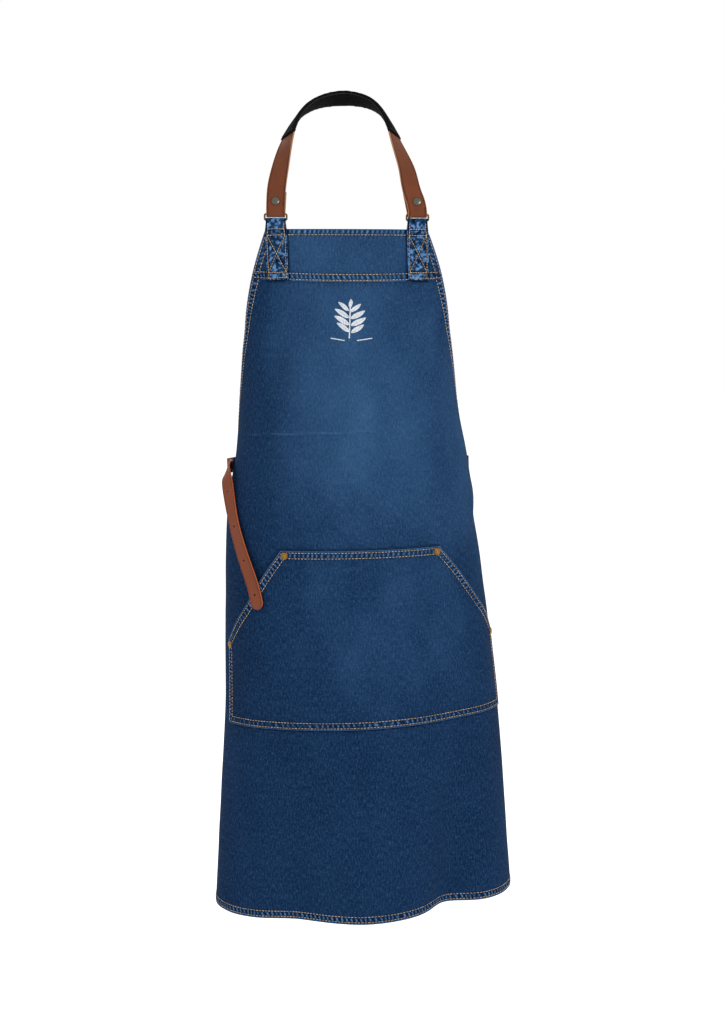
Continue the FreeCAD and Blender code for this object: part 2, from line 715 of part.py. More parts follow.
tip_steps = []
point, along, out = left_stations[-1]
for f in (0.9, 0.7, 0.5, 0.3, 0.15, 0.06):
    back_point = point - along * (ROUND_TIP * f)
    tip_steps.append((back_point, along, out))
left_stations = left_stations[:-2] + tip_steps + [left_stations[-1]]
left_solid = ribbon(left_stations, left_width, size("waist_leather"))
hole_places = []
for k in range(4):
    middle, out = station_at(left_stations, size("tip_to_hole") + k * size("hole_pitch"))
    face = middle + out * (size("waist_leather") / 2.0)
    hole_places.append((face, out))
    left_solid = drill(left_solid, face, out, size("hole_radius"), size("waist_leather"))
left_snap_face = (outer_bars["left"] + left_away * SNAP_RISE
                  + left_front * (waist_fold + size("waist_leather") / 2.0))
left_solid = drill(left_solid, left_snap_face, left_front, size("snap_hole"),
                   2 * waist_fold + size("waist_leather"))
add_node(keep("waist_strap_left", left_solid))
for piece, profile in waist_profiles.items():
    add_node(turned(f"waist_left_snap_{piece}", profile, [(left_snap_face, left_front)]))

# The right strap runs inwards from its ring, twists and hangs down with the buckle at its end.
inwards = ring_directions["right"]
right_front = Vec(inwards.y, -inwards.x, 0)
start = outer_bars["right"]
right_route = [tuple(start + inwards * 52 + Vec(0, 0, -3)),
               tuple(start + inwards * 66 + Vec(0, 0, -16)),
               tuple(start + inwards * 70 + Vec(0, 0, -42)),
               tuple(start + inwards * 69 + Vec(0, 0, -110)),
               tuple(start + inwards * 67 + Vec(0, 0, -180)),
               tuple(start + inwards * 67 + Vec(0, 0, -240))]
up = Vec(0, 0, 1)
right_outs = [tuple((right_front + up * 0.9).normalize()), tuple((inwards + up * 0.8).normalize()),
              tuple(inwards), tuple(inwards), tuple(inwards), tuple(inwards)]
right_stations = waist_strap("right", inwards, right_front, right_route, right_outs, 5)

BUCKLE_FLAP = 40
heel_bar = Vec(*right_route[-1]) + Vec(0, 0, -14) - inwards * waist_fold
end_points, end_outs = hairpin(heel_bar, Vec(0, 0, 1), inwards, waist_fold, BUCKLE_FLAP, 8)
end_stations = stations_of(end_points[::-1], end_outs[::-1])
joined = [s[0] for s in right_stations] + [s[0] for s in end_stations]
joined_outs = [s[2] for s in right_stations] + [s[2] for s in end_stations]
right_stations = stations_of(joined, joined_outs)
right_solid = ribbon(right_stations, lambda i: size("waist_width"), size("waist_leather"))
right_snap_face = start + inwards * SNAP_RISE + right_front * (waist_fold + size("waist_leather") / 2.0)
right_solid = drill(right_solid, right_snap_face, right_front, size("snap_hole"),
                    2 * waist_fold + size("waist_leather"))
bar_direction = inwards.cross(up).normalize()
SLOT = (5.0, 12.0)
slot_box = Part.makeBox(SLOT[0], 12.0, SLOT[1])
slot_box.translate(Vec(-SLOT[0] / 2.0, -6.0, -SLOT[1] / 2.0 - 0.5))
slot_box.Placement = frame_at(heel_bar, bar_direction, up).multiply(slot_box.Placement)
right_solid = right_solid.cut(slot_box)
rivet_rise = 26.0
buckle_rivet_face = heel_bar + up * rivet_rise + inwards * (waist_fold + size("waist_leather") / 2.0)
right_solid = drill(right_solid, buckle_rivet_face, inwards, 1.7, 2 * waist_fold + size("waist_leather"))
add_node(keep("waist_strap_right", right_solid))
for piece, profile in waist_profiles.items():
    add_node(turned(f"waist_right_snap_{piece}", profile, [(right_snap_face, right_front)]))

layers = "(sizes.ring_wire + 2 * sizes.fit_gap + 2 * sizes.waist_leather)"
rivet_corners = [(0, 1.2), (3.0, 0.8), (3.5, 0.05), (1.5, 0.05), (1.5, f"-{layers} - 0.05"),
                 (3.5, f"-{layers} - 0.05"), (3.0, f"-{layers} - 0.8"), (0, f"-{layers} - 1.0")]
add_node(turned("buckle_rivet", turned_profile("buckle_rivet_profile", rivet_corners),
                [(buckle_rivet_face, inwards)]))

# Buckle: a frame that turns on the strap's fold, and a prong that turns on the frame's heel bar.
frame_body = doc.addObject("PartDesign::Body", "buckle_frame")
frame_body.Label = "buckle_frame"
outline = body_sketch(frame_body, "buckle_outline", "XZ_Plane")
reach = "sizes.buckle_reach"
add_rectangle(outline, "sizes.buckle_window + 2 * sizes.buckle_wire", f"{reach} + sizes.buckle_wire", f"-{reach} / 2")
add_rectangle(outline, "sizes.buckle_window", f"{reach} - sizes.buckle_wire", f"-{reach} / 2")
buckle_pad = frame_body.newObject("PartDesign::Pad", "buckle_pad")
buckle_pad.Profile = outline
buckle_pad.setExpression("Length", "sizes.buckle_wire")
buckle_pad.Midplane = True
doc.recompute()
buckle_rounding = frame_body.newObject("PartDesign::Fillet", "buckle_rounding")
buckle_rounding.Base = (buckle_pad, [f"Edge{i + 1}" for i in range(len(buckle_pad.Shape.Edges))])
buckle_rounding.Radius = 1.3
frame_body.Placement = frame_at(heel_bar, bar_direction, up)
add_node(frame_body)

hub = doc.addObject("Part::Cylinder", "prong_hub")
hub.setExpression("Radius", "sizes.buckle_wire / 2 + sizes.fit_gap + 1.3")
hub.Height = 4.0
tongue = doc.addObject("Part::Box", "prong_tongue")
tongue.setExpression("Length", "sizes.buckle_reach + 1")
tongue.Width = 1.8
tongue.Height = 3.0
tongue.Placement = FreeCAD.Placement(Vec(0, 1.9, 0.5), FreeCAD.Rotation())
prong_solid = doc.addObject("Part::MultiFuse", "prong_whole")
prong_solid.Shapes = [hub, tongue]
eye = doc.addObject("Part::Cylinder", "prong_eye")
eye.setExpression("Radius", "sizes.buckle_wire / 2 + sizes.fit_gap")
eye.Height = 12.0
eye.Placement = FreeCAD.Placement(Vec(0, 0, -4), FreeCAD.Rotation())
prong = doc.addObject("Part::Cut", "buckle_prong")
prong.Base = prong_solid
prong.Tool = eye
prong.Label = "buckle_prong"
prong.Placement = frame_at(heel_bar - bar_direction * 2.0, up * -1.0, bar_direction)
add_node(prong)

KEEPER_WIDTH = 9.0
keeper_middle = heel_bar + up * 36.0
outer = Part.makeBox(size("waist_width") + 4.4, 2 * waist_fold + 2 * size("waist_leather") + 3.2, KEEPER_WIDTH)
inner = Part.makeBox(size("waist_width") + 1.0, 2 * waist_fold + size("waist_leather") + 1.0, KEEPER_WIDTH + 4)
for box in (outer, inner):
    middle = box.BoundBox.Center
    box.translate(middle * -1.0)
keeper = outer.makeFillet(1.5, [e for e in outer.Edges if abs(e.Vertexes[0].Z - e.Vertexes[1].Z) > 1]).cut(inner)
add_node(keep("buckle_keeper", keeper, frame_at(keeper_middle, bar_direction, up)))

# ---------------------------------------------------------------- check and write
doc.recompute()
for item in doc.Objects:
    if "Invalid" in item.State or "Error" in item.State:
        raise RuntimeError(f"{item.Name} did not compute: {item.State}")
for name, feature in nodes.items():
    shape = feature.Shape
    if shape.isNull() or not shape.isValid():
        raise RuntimeError(f"{name} has no valid shape")
    if shape.Volume <= 0:
        raise RuntimeError(f"{name} is inside out")
    print(f"{name}: {len(shape.Solids)} solid(s), {shape.Volume / 1000.0:.2f} cm3")
    shape.exportStep(f"parts/{name}.step")


def show(label, point):
    print(label, [round(value, 3) for value in point])


for side in ("left", "right"):
    show(f"neck ring {side} low bar", low_bars[side])
    show(f"waist {side} inner bar", inner_bars[side])
    show(f"waist {side} outer bar", outer_bars[side])
show("buckle heel bar", heel_bar)
show("buckle bar direction", bar_direction)
for face, out in hole_places:
    show("strap hole", face)
    show("  outwards", out)
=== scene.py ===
"""Denim bib apron: soft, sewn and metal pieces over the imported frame. Metres, +Z up, the front faces -Y."""
import math
import bmesh
import bpy
import numpy as np
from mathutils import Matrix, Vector
from mathutils.bvhtree import BVHTree


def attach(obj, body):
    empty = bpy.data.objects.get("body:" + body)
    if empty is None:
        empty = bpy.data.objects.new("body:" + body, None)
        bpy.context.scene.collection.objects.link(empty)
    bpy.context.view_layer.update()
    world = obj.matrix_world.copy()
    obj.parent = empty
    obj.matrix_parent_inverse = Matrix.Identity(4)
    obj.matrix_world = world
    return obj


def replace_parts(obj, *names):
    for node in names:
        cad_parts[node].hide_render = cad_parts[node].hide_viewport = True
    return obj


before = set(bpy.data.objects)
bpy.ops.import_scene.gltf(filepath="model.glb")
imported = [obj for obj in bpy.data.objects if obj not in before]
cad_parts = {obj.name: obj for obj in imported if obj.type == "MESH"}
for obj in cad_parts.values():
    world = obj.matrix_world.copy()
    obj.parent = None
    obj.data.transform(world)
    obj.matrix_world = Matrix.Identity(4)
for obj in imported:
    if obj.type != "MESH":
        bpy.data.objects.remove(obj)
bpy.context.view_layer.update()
rng = np.random.default_rng(7)

# ---------------------------------------------------------------- camera, lights and world
AZIMUTH, PITCH = math.radians(-3.5), math.radians(6.3)
BIB_POINT = Vector((0, -0.140, -0.183))
CAMERA_RANGE, SHIFT_ASIDE, SHIFT_ABOVE = 2.145, -0.00915, 0.17256
ahead = Vector((-math.sin(AZIMUTH) * math.cos(PITCH), math.cos(AZIMUTH) * math.cos(PITCH), -math.sin(PITCH)))
aside = Vector((math.cos(AZIMUTH), math.sin(AZIMUTH), 0.0))
above = aside.cross(ahead)
camera = bpy.data.objects.new("camera", bpy.data.cameras.new("camera"))
bpy.context.scene.collection.objects.link(camera)
camera.data.lens, camera.data.sensor_width = 57.66, 36.0
camera.data.sensor_fit = "AUTO"
camera.location = BIB_POINT - CAMERA_RANGE * (ahead + aside * SHIFT_ASIDE + above * SHIFT_ABOVE)
camera.rotation_mode = "QUATERNION"
camera.rotation_quaternion = ahead.to_track_quat("-Z", "Y")
bpy.context.scene.camera = camera
bpy.context.scene.view_settings.view_transform = "Standard"


def area_light(name, place, target, size, power, colour=(1, 1, 1)):
    light = bpy.data.lights.new(name, "AREA")
    light.shape = "RECTANGLE"
    light.size, light.size_y = size
    light.energy = power
    light.color = colour
    holder = bpy.data.objects.new(name, light)
    bpy.context.scene.collection.objects.link(holder)
    holder.location = place
    holder.rotation_mode = "QUATERNION"
    holder.rotation_quaternion = (Vector(target) - Vector(place)).to_track_quat("-Z", "Y")


area_light("key_light", (1.7, -2.4, 1.0), (0, 0, -0.55), (1.5, 1.5), 46, (1.0, 0.985, 0.96))
area_light("fill_light", (-2.2, -2.0, 0.2), (0, 0, -0.6), (1.8, 2.2), 10, (0.94, 0.97, 1.0))
area_light("back_light", (-0.6, 2.4, 0.9), (0, 0, -0.5), (2.0, 1.4), 22)
world = bpy.data.worlds.new("studio")
bpy.context.scene.world = world
world.use_nodes = True
world.node_tree.nodes["Background"].inputs["Color"].default_value = (1, 1, 1, 1)
world.node_tree.nodes["Background"].inputs["Strength"].default_value = 1.0

# ---------------------------------------------------------------- how the cloth hangs (millimetres)
BIB_TOP, BODY_LENGTH, THICK, SEWN = 183.0, 919.0, 1.2, 0.4
FRONT = [(0, -140), (135, -163), (295, -182), (430, -190), (650, -190), (925, -186)]
HALF_ACROSS = [(0, 230), (66, 170), (120, 150), (160, 147), (225, 149), (295, 158),
               (360, 168), (430, 175), (540, 183), (650, 191), (925, 210)]
DEPTH = [(0, 60), (66, 90), (120, 106), (225, 120), (430, 125), (925, 125)]
CENTRE = [(0, 0), (120, 3), (225, 6), (295, 10), (360, 12), (430, 18), (540, 26), (650, 33), (925, 36)]
TURN = [(0, 0), (295, 0), (430, 3), (650, 4), (925, 4)]
SLOPE = [(0, 0), (225, 0), (430, 0.016), (650, 0.036), (925, 0.030)]
HALF_CUT = [(0, 106), (66, 132), (120, 157), (180, 186), (240, 218), (288, 256),
            (304, 269), (322, 273), (925, 300)]
FOLDS = [(-5, 55, 14), (118, 42, -34), (-115, 45, -12)]
FOLD_START = 560
GAUSS_PLACES, GAUSS_WEIGHTS = np.polynomial.legendre.leggauss(12)
GAUSS_PLACES, GAUSS_WEIGHTS = (GAUSS_PLACES + 1) / 2, GAUSS_WEIGHTS / 2


def smooth(keys, place):
    """Cubic curve through the keys, held level beyond its ends."""
    x = np.array([key[0] for key in keys], float)
    y = np.array([key[1] for key in keys], float)
    last = len(keys) - 1
    before, after = np.maximum(np.arange(last + 1) - 1, 0), np.minimum(np.arange(last + 1) + 1, last)
    slope = (y[after] - y[before]) / (x[after] - x[before])
    p = np.clip(np.asarray(place, float), x[0], x[-1])
    i = np.clip(np.searchsorted(x, p) - 1, 0, last - 1)
    span = x[i + 1] - x[i]
    f = (p - x[i]) / span
    return ((2 * f**3 - 3 * f**2 + 1) * y[i] + (f**3 - 2 * f**2 + f) * slope[i] * span
            + (3 * f**2 - 2 * f**3) * y[i + 1] + (f**3 - f**2) * slope[i + 1] * span)


def section_angle(across, half, depth):
    """Angle on the ellipse where the arc from its front middle is `across` long."""
    target = np.abs(across)
    angle = target / half
    for _ in range(6):
        t = angle[..., None] * GAUSS_PLACES
        speed = np.hypot(half[..., None] * np.cos(t), depth[..., None] * np.sin(t))
        arc = (speed * GAUSS_WEIGHTS).sum(-1) * angle
        angle = angle - (arc - target) / np.hypot(half * np.cos(angle), depth * np.sin(angle))
    return np.copysign(angle, across)


def noise(u, v, seed):
    """Soft value noise from -1 to 1, one cell a unit."""
    i, j = np.floor(u), np.floor(v)

    def corner(a, b):
        n = np.sin(a * 127.1 + b * 311.7 + seed * 74.7) * 43758.5453
        return n - np.floor(n)

    f, g = u - i, v - j
    f, g = f * f * (3 - 2 * f), g * g * (3 - 2 * g)
    low = corner(i, j) * (1 - f) + corner(i + 1, j) * f
    high = corner(i, j + 1) * (1 - f) + corner(i + 1, j + 1) * f
    return 2 * (low * (1 - g) + high * g) - 1


def bell(value, middle, width):
    return np.exp(-((value - middle) / width) ** 2)


# Soft creases: (across, drop) ends, width and height of a ridge, or a valley when negative.
CREASES = [((-140, 272), (28, 265.5), 3.5, -0.8), ((-62, 590), (-4, 596), 5, -0.7),
           ((258, 330), (120, 420), 16, 2.0), ((250, 352), (140, 470), 18, -1.8),
           ((-250, 335), (-150, 400), 14, 1.6), ((70, 680), (96, 900), 20, 2.4),
           ((-60, 700), (-84, 900), 22, 2.0), ((10, 300), (30, 410), 16, 1.0),
           ((-92, 74), (-70, 150), 12, -1.2), ((92, 74), (72, 150), 12, -1.2)]


def relief(across, drop):
    """Small hang wrinkles over the plain drape."""
    total = 0.7 * noise(across / 62, drop / 105, 1) + 0.35 * noise(across / 23, drop / 37, 2)
    for (a0, d0), (a1, d1), width, height in CREASES:
        length = math.hypot(a1 - a0, d1 - d0)
        along = ((across - a0) * (a1 - a0) + (drop - d0) * (d1 - d0)) / length
        off = ((across - a0) * (d1 - d0) - (drop - d0) * (a1 - a0)) / length
        ends = np.clip(along / 25, 0, 1) * np.clip((length - along) / 25, 0, 1)
        total = total + height * np.exp(-(off / width) ** 2) * ends * ends * (3 - 2 * ends)
    strap = bell(across, -165, 45) * bell(drop, 430, 95)
    return total * (1 - 0.9 * strap)


def cloth(across, drop, lift=0.0):
    """Points over flat places (across, drop), `lift` in front of the panel's outer face; metres."""
    across, drop, lift = np.broadcast_arrays(np.asarray(across, float), np.asarray(drop, float),
                                             np.asarray(lift, float))
    half, depth = smooth(HALF_ACROSS, drop), smooth(DEPTH, drop)
    angle = section_angle(across, half, depth)
    x, back = half * np.sin(angle), depth * (1 - np.cos(angle))
    norm_x, norm_y = depth * np.sin(angle), -half * np.cos(angle)
    grown = np.clip((drop - FOLD_START) / (BODY_LENGTH - FOLD_START), 0, None) ** 1.3
    folds = grown * sum(height * bell(across, middle, width) for middle, width, height in FOLDS)
    out = (lift + folds + relief(across, drop)) / np.hypot(norm_x, norm_y)
    x, back = x + out * norm_x, back + out * norm_y
    turn = np.radians(smooth(TURN, drop))
    across_x = x * np.cos(turn) - back * np.sin(turn)
    y = x * np.sin(turn) + back * np.cos(turn)
    z = -BIB_TOP - drop + smooth(SLOPE, drop) * across_x
    return np.stack([smooth(CENTRE, drop) + across_x, smooth(FRONT, drop) + y, z], -1) * 0.001


def half_cut(drop):
    return smooth(HALF_CUT, drop)


# ---------------------------------------------------------------- materials
def linear(red, green, blue):
    """sRGB 0-255 to linear."""
    values = []
    for channel in (red, green, blue):
        c = channel / 255
        values.append(c / 12.92 if c <= 0.04045 else ((c + 0.055) / 1.055) ** 2.4)
    return (*values, 1.0)


class Shader:
    """Short way to build a node material."""

    def __init__(self, name):
        self.material = bpy.data.materials.new(name)
        self.material.use_nodes = True
        self.tree = self.material.node_tree
        self.surface = self.tree.nodes["Principled BSDF"]

    def node(self, kind, links=(), **values):
        made = self.tree.nodes.new(kind)
        for key, value in values.items():
            if hasattr(made, key):
                setattr(made, key, value)
            else:
                made.inputs[key.replace("_", " ")].default_value = value
        for socket, source in dict(links).items():
            self.tree.links.new(source, made.inputs[socket])
        return made

    def maths(self, operation, first, second=0.0):
        made = self.tree.nodes.new("ShaderNodeMath")
        made.operation = operation
        for i, value in enumerate((first, second)):
            if isinstance(value, (int, float)):
                made.inputs[i].default_value = value
            else:
                self.tree.links.new(value, made.inputs[i])
        return made.outputs[0]

    def mix(self, factor, first, second, blend="MIX"):
        made = self.tree.nodes.new("ShaderNodeMix")
        made.data_type = "RGBA"
        made.blend_type = blend
        for i, value in ((0, factor), (6, first), (7, second)):
            if isinstance(value, (int, float, tuple)):
                made.inputs[i].default_value = value
            else:
                self.tree.links.new(value, made.inputs[i])
        return made.outputs[2]

    def grain(self, coords, scale=1.0, detail=3.0, **values):
        """Factor of a noise texture over the coordinates."""
        made = self.node("ShaderNodeTexNoise", {"Vector": coords}, Scale=scale, Detail=detail, **values)
        return made.outputs["Fac"]

    def place(self):
        return self.node("ShaderNodeTexCoord").outputs["Object"]

    def attribute(self, name):
        return self.node("ShaderNodeAttribute", attribute_name=name).outputs["Fac"]

    def flat(self, scale=(1, 1, 1), turn=0.0):
        """The piece's own flat measure in millimetres, scaled and turned."""
        coords = self.node("ShaderNodeUVMap", uv_map="flat").outputs[0]
        return self.node("ShaderNodeMapping", {"Vector": coords}, Scale=tuple(1000 * s for s in scale),
                         Rotation=(0, 0, turn)).outputs[0]

    def bump(self, height, strength, distance, normal=None):
        links = {"Height": height}
        if normal is not None:
            links["Normal"] = normal
        return self.node("ShaderNodeBump", links, Strength=strength, Distance=distance).outputs[0]

    def finish(self, colour=None, roughness=None, normal=None, **constants):
        for socket, source in (("Base Color", colour), ("Roughness", roughness), ("Normal", normal)):
            if source is None:
                continue
            if isinstance(source, (int, float, tuple)):
                self.surface.inputs[socket].default_value = source
            else:
                self.tree.links.new(source, self.surface.inputs[socket])
        for key, value in constants.items():
            self.surface.inputs[key.replace("_", " ")].default_value = value
        return self.material


def denim(name, inside=False):
    """Indigo twill: diagonal ribs, slubs, slow fading, wear and darker dye at seam puckers, and painted
    highlights, painted shade and painted shadows.
    """
    s = Shader(name)
    ribs = s.node("ShaderNodeTexWave", {"Vector": s.flat(turn=math.radians(-62))}, wave_type="BANDS",
                  bands_direction="X", Scale=0.30, Distortion=0.6, Detail=1.0,
                  Detail_Scale=1.2).outputs["Fac"]
    slub = s.grain(s.flat((0.55, 0.13, 1)), Roughness=0.6)
    grain = s.grain(s.flat((0.5, 0.32, 1)), detail=2.5, Roughness=0.65)
    cloud = s.grain(s.flat((0.02, 0.012, 1)))
    # Both attributes read here carry painted light: the first holds wear with painted highlights and painted
    # shade, the second worn fade with painted shade at the edges.
    wear, fade = s.attribute("wear"), s.attribute("fade")
    if inside:
        base = s.mix(slub, linear(60, 82, 108), linear(120, 140, 160))
        weave = s.mix(ribs, base, linear(150, 165, 180))
        colour = s.mix(s.maths("MULTIPLY", grain, 0.35), weave, linear(52, 72, 100))
    else:
        tone = s.maths("ADD", fade, s.maths("MULTIPLY", s.maths("SUBTRACT", cloud, 0.5), 0.5))
        ramp = s.node("ShaderNodeValToRGB", {"Fac": tone})
        stops = ramp.color_ramp.elements
        stops[0].position, stops[0].color = 0.0, linear(1, 25, 53)
        stops[1].position, stops[1].color = 1.0, linear(50, 82, 117)
        for place, shade in ((0.35, (9, 36, 66)), (0.7, (32, 61, 93))):
            stop = stops.new(place)
            stop.color = linear(*shade)
        threads = 0.0
        for factor, share in ((slub, 0.75), (grain, 0.75), (ribs, 0.30)):
            threads = s.maths("ADD", s.maths("MULTIPLY", s.maths("SUBTRACT", factor, 0.5), share), threads)
        light = s.mix(s.maths("MAXIMUM", threads, 0.0), ramp.outputs[0], linear(74, 108, 148))
        woven = s.mix(s.maths("MAXIMUM", s.maths("MULTIPLY", threads, -1.2), 0.0), light, linear(4, 20, 46))
        # Positive marks lighten the cloth: wear, and the painted highlight along the waist crease.
        wear_and_shade_marks = s.mix(s.maths("MAXIMUM", wear, 0.0), woven, linear(96, 142, 190))
        # Negative marks darken it: darker unworn dye in the puckers, and painted shade and shadow along the
        # crease, beside the pocket and round the tabs.
        dark_and_shade = s.maths("MINIMUM", s.maths("MAXIMUM", s.maths("MULTIPLY", wear, -1.0), 0.0), 0.95)
        colour = s.mix(dark_and_shade, wear_and_shade_marks, linear(0, 6, 26))
    normal = s.bump(ribs, 0.28, 0.0003)
    normal = s.bump(grain, 0.35, 0.0005, normal)
    return s.finish(colour, 0.95, normal, Specular_IOR_Level=0.05)


def leather(name, dark, light, rim):
    """Smooth leather: pores, slow toning and painted or raw edges."""
    s = Shader(name)
    tone = s.grain(s.flat((0.06, 0.03, 1)), detail=4.0)
    pores = s.node("ShaderNodeTexVoronoi", {"Vector": s.flat((1.1, 1.1, 1))}, feature="F1",
                   Scale=1.0).outputs["Distance"]
    fine = s.grain(s.flat((0.7, 0.7, 1)), detail=4.0)
    base = s.mix(tone, linear(*dark), linear(*light))
    base = s.mix(s.maths("MULTIPLY", fine, 0.25), base, linear(*dark))
    colour = s.mix(s.attribute("wear"), base, linear(*rim))
    normal = s.bump(s.maths("ADD", s.maths("MULTIPLY", pores, 0.6), fine), 0.16, 0.0003)
    rough = s.maths("ADD", s.maths("MULTIPLY", fine, 0.14), 0.52)
    return s.finish(colour, rough, normal, Specular_IOR_Level=0.16)


def metal(name, dark, light, rough=0.3):
    """Old plated metal: tarnish in patches, a painted highlight on each turned crown and painted shade at its
    rim, fine scratches.
    """
    s = Shader(name)
    coords = s.place()
    spots = s.grain(coords, 420.0, 4.0, Roughness=0.7)
    scratch = s.grain(coords, 2600.0, 2.0)
    # Turned pieces are painted lighter towards their crown and darker at their rim, a painted highlight and
    # painted shade, over the tarnish patches.
    tarnish_and_highlight = s.maths("ADD", s.maths("MULTIPLY", spots, 0.5), s.maths("MULTIPLY", s.attribute("wear"), 0.6))
    colour = s.mix(tarnish_and_highlight, linear(*dark), linear(*light))
    roughness = s.maths("ADD", s.maths("MULTIPLY", scratch, 0.18), rough - 0.08)
    return s.finish(colour, roughness, s.bump(scratch, 0.05, 0.0001), Metallic=1.0)


def thread(name, dark, light):
    """Twisted sewing thread."""
    s = Shader(name)
    twist = s.grain(s.place(), 1500.0, 2.0)
    tint = s.mix(s.attribute("wear"), linear(*dark), linear(*light))
    colour = s.mix(s.maths("MULTIPLY", twist, 0.45), tint, linear(*dark))
    return s.finish(colour, 0.75, s.bump(twist, 0.4, 0.0002), Sheen_Weight=0.1, Specular_IOR_Level=0.3)


def knit(name):
    """Matte black spacer knit with small loops."""
    s = Shader(name)
    coords = s.place()
    loops = s.node("ShaderNodeTexVoronoi", {"Vector": coords}, Scale=720.0).outputs["Distance"]
    fluff = s.grain(coords, 900.0)
    slow = s.grain(coords, 28.0)
    base = s.mix(slow, linear(4, 4, 4), linear(12, 12, 12))
    colour = s.mix(s.maths("MULTIPLY", fluff, 0.5), base, linear(20, 20, 20))
    normal = s.bump(s.maths("ADD", loops, s.maths("MULTIPLY", fluff, 0.5)), 0.6, 0.0006)
    return s.finish(colour, 0.92, normal, Specular_IOR_Level=0.04)


DENIM, DENIM_BACK = denim("denim_face"), denim("denim_back", True)
NECK_LEATHER = leather("neck_leather", (78, 38, 17), (106, 54, 28), (146, 98, 66))
WAIST_LEATHER = leather("waist_leather", (98, 48, 28), (118, 60, 36), (152, 74, 36))
# Each metal's light colour serves its painted crown highlight as well as bare metal; its dark colour is
# tarnish and painted rim shade.
GUNMETAL = metal("gunmetal", (28, 26, 23), (106, 102, 92), 0.22)
STEEL = metal("antique_nickel", (64, 52, 36), (128, 108, 78), 0.3)
BRASS = metal("antique_brass", (24, 15, 5), (150, 112, 56), 0.24)
GOLD_THREAD = thread("gold_thread", (128, 102, 70), (202, 178, 144))
WHITE_THREAD = thread("white_thread", (150, 158, 168), (214, 218, 222))
BLACK_THREAD = thread("black_thread", (14, 14, 15), (40, 40, 42))
KNIT = knit("black_knit")


# ---------------------------------------------------------------- mesh helpers
def link(name, mesh, body, slot, materials):
    piece = bpy.data.objects.new(name, mesh)
    bpy.context.scene.collection.objects.link(piece)
    for material in materials:
        mesh.materials.append(material)
    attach(piece, body)
    return piece


def make_mesh(name, points, faces, uv=None, **attributes):
    mesh = bpy.data.meshes.new(name)
    mesh.from_pydata(np.asarray(points).tolist(), [], faces)
    mesh.shade_smooth()
    if uv is not None:
        layer = mesh.uv_layers.new(name="flat")
        corner = np.empty(len(mesh.loops), np.int32)
        mesh.loops.foreach_get("vertex_index", corner)
        layer.data.foreach_set("uv", np.asarray(uv, np.float32)[corner].ravel())
    for key, values in attributes.items():
        layer = mesh.attributes.new(key, "FLOAT", "POINT")
        layer.data.foreach_set("value", np.asarray(values, np.float32).ravel())
    return mesh


def face_outwards(mesh, close_holes=False):
    """Turns every face outwards, over holes filled first if asked."""
    grid = bmesh.new()
    grid.from_mesh(mesh)
    if close_holes:
        bmesh.ops.holes_fill(grid, edges=[edge for edge in grid.edges if edge.is_boundary], sides=0)
    bmesh.ops.recalc_face_normals(grid, faces=grid.faces)
    grid.to_mesh(mesh)
    grid.free()


def strip(name, rows, uv, body, slot, materials, back=None, cap=True, loop=False, **attributes):
    """Closed skin over rows of points that each go once round a flat section; `back` marks inside columns."""
    n, m = rows.shape[:2]
    index = np.arange(n * m).reshape(n, m)
    nxt = np.roll(index, -1, axis=1)
    if loop:
        quads = np.stack([index, nxt, np.roll(nxt, -1, axis=0), np.roll(index, -1, axis=0)], -1)
    else:
        quads = np.stack([index[:-1], nxt[:-1], nxt[1:], index[1:]], -1)
    material = np.zeros(quads.shape[:2], int)
    if back is not None:
        material[:, back] = 1
    faces = quads.reshape(-1, 4).tolist()
    material = material.ravel().tolist()
    if cap and not loop:
        for row, flip in ((index[0], False), (index[-1], True)):
            for i in range(m // 2 - 1):
                quad = [row[i], row[m - 1 - i], row[m - 2 - i], row[i + 1]]
                faces.append([int(v) for v in (quad[::-1] if flip else quad)])
                material.append(0)
    mesh = make_mesh(name, rows.reshape(-1, 3), faces, uv.reshape(-1, 2), **attributes)
    mesh.polygons.foreach_set("material_index", material)
    face_outwards(mesh)
    return link(name, mesh, body, slot, materials)


# How light the cloth is down its middle, and how much darker its left and right edges are, partly less-worn
# cloth and partly painted shade, the left edge most as it turns from the key light: (drop, share).
FADE = [(0, 0.68), (90, 0.70), (220, 0.70), (340, 0.62), (420, 0.54), (560, 0.44), (640, 0.34), (700, 0.24),
        (919, 0.20)]
FADE_AND_SHADE_LEFT = [(0, 0.1), (100, 0.65), (220, 0.85), (400, 0.95), (560, 0.75), (700, 0.25), (919, 0.2)]
FADE_AND_SHADE_RIGHT = [(0, 0.05), (100, 0.22), (400, 0.10), (560, 0.5), (700, 0.2), (919, 0.15)]


def fade_of(across, drop):
    """How light the cloth is, 0 dark to 1 light, worn fade with painted shade towards its edges: the middle
    and the bib are lightest.
    """
    half = half_cut(np.clip(drop, 0, BODY_LENGTH))
    side = np.clip(np.abs(across) / half, 0, 1)
    darker = smooth(FADE_AND_SHADE_LEFT, drop) * (across < 0) + smooth(FADE_AND_SHADE_RIGHT, drop) * (across > 0)
    return np.clip(smooth(FADE, drop) - darker * side ** 1.5 + 0.10 * noise(across / 90, drop / 140, 5), 0, 1)


def flat_measure(across, drop):
    return np.stack([across, drop], -1) * 0.001


ROPE = 6.2  # length of one pucker along a seam
ROWS = (2.4, 9.6)  # a double row of stitches, in from the edge


def roping(along, offset, seed):
    """Slanting pucker stripes beside a stitched edge, -1 to 1."""
    phase = (along + 0.28 * offset) / ROPE + 0.5 * noise(along / 17, offset / 30, seed)
    wave = np.sin(2 * math.pi * phase)
    return np.sign(wave) * np.abs(wave) ** 0.7 * (0.7 + 0.3 * noise(along / 9, offset / 5, seed + 3))


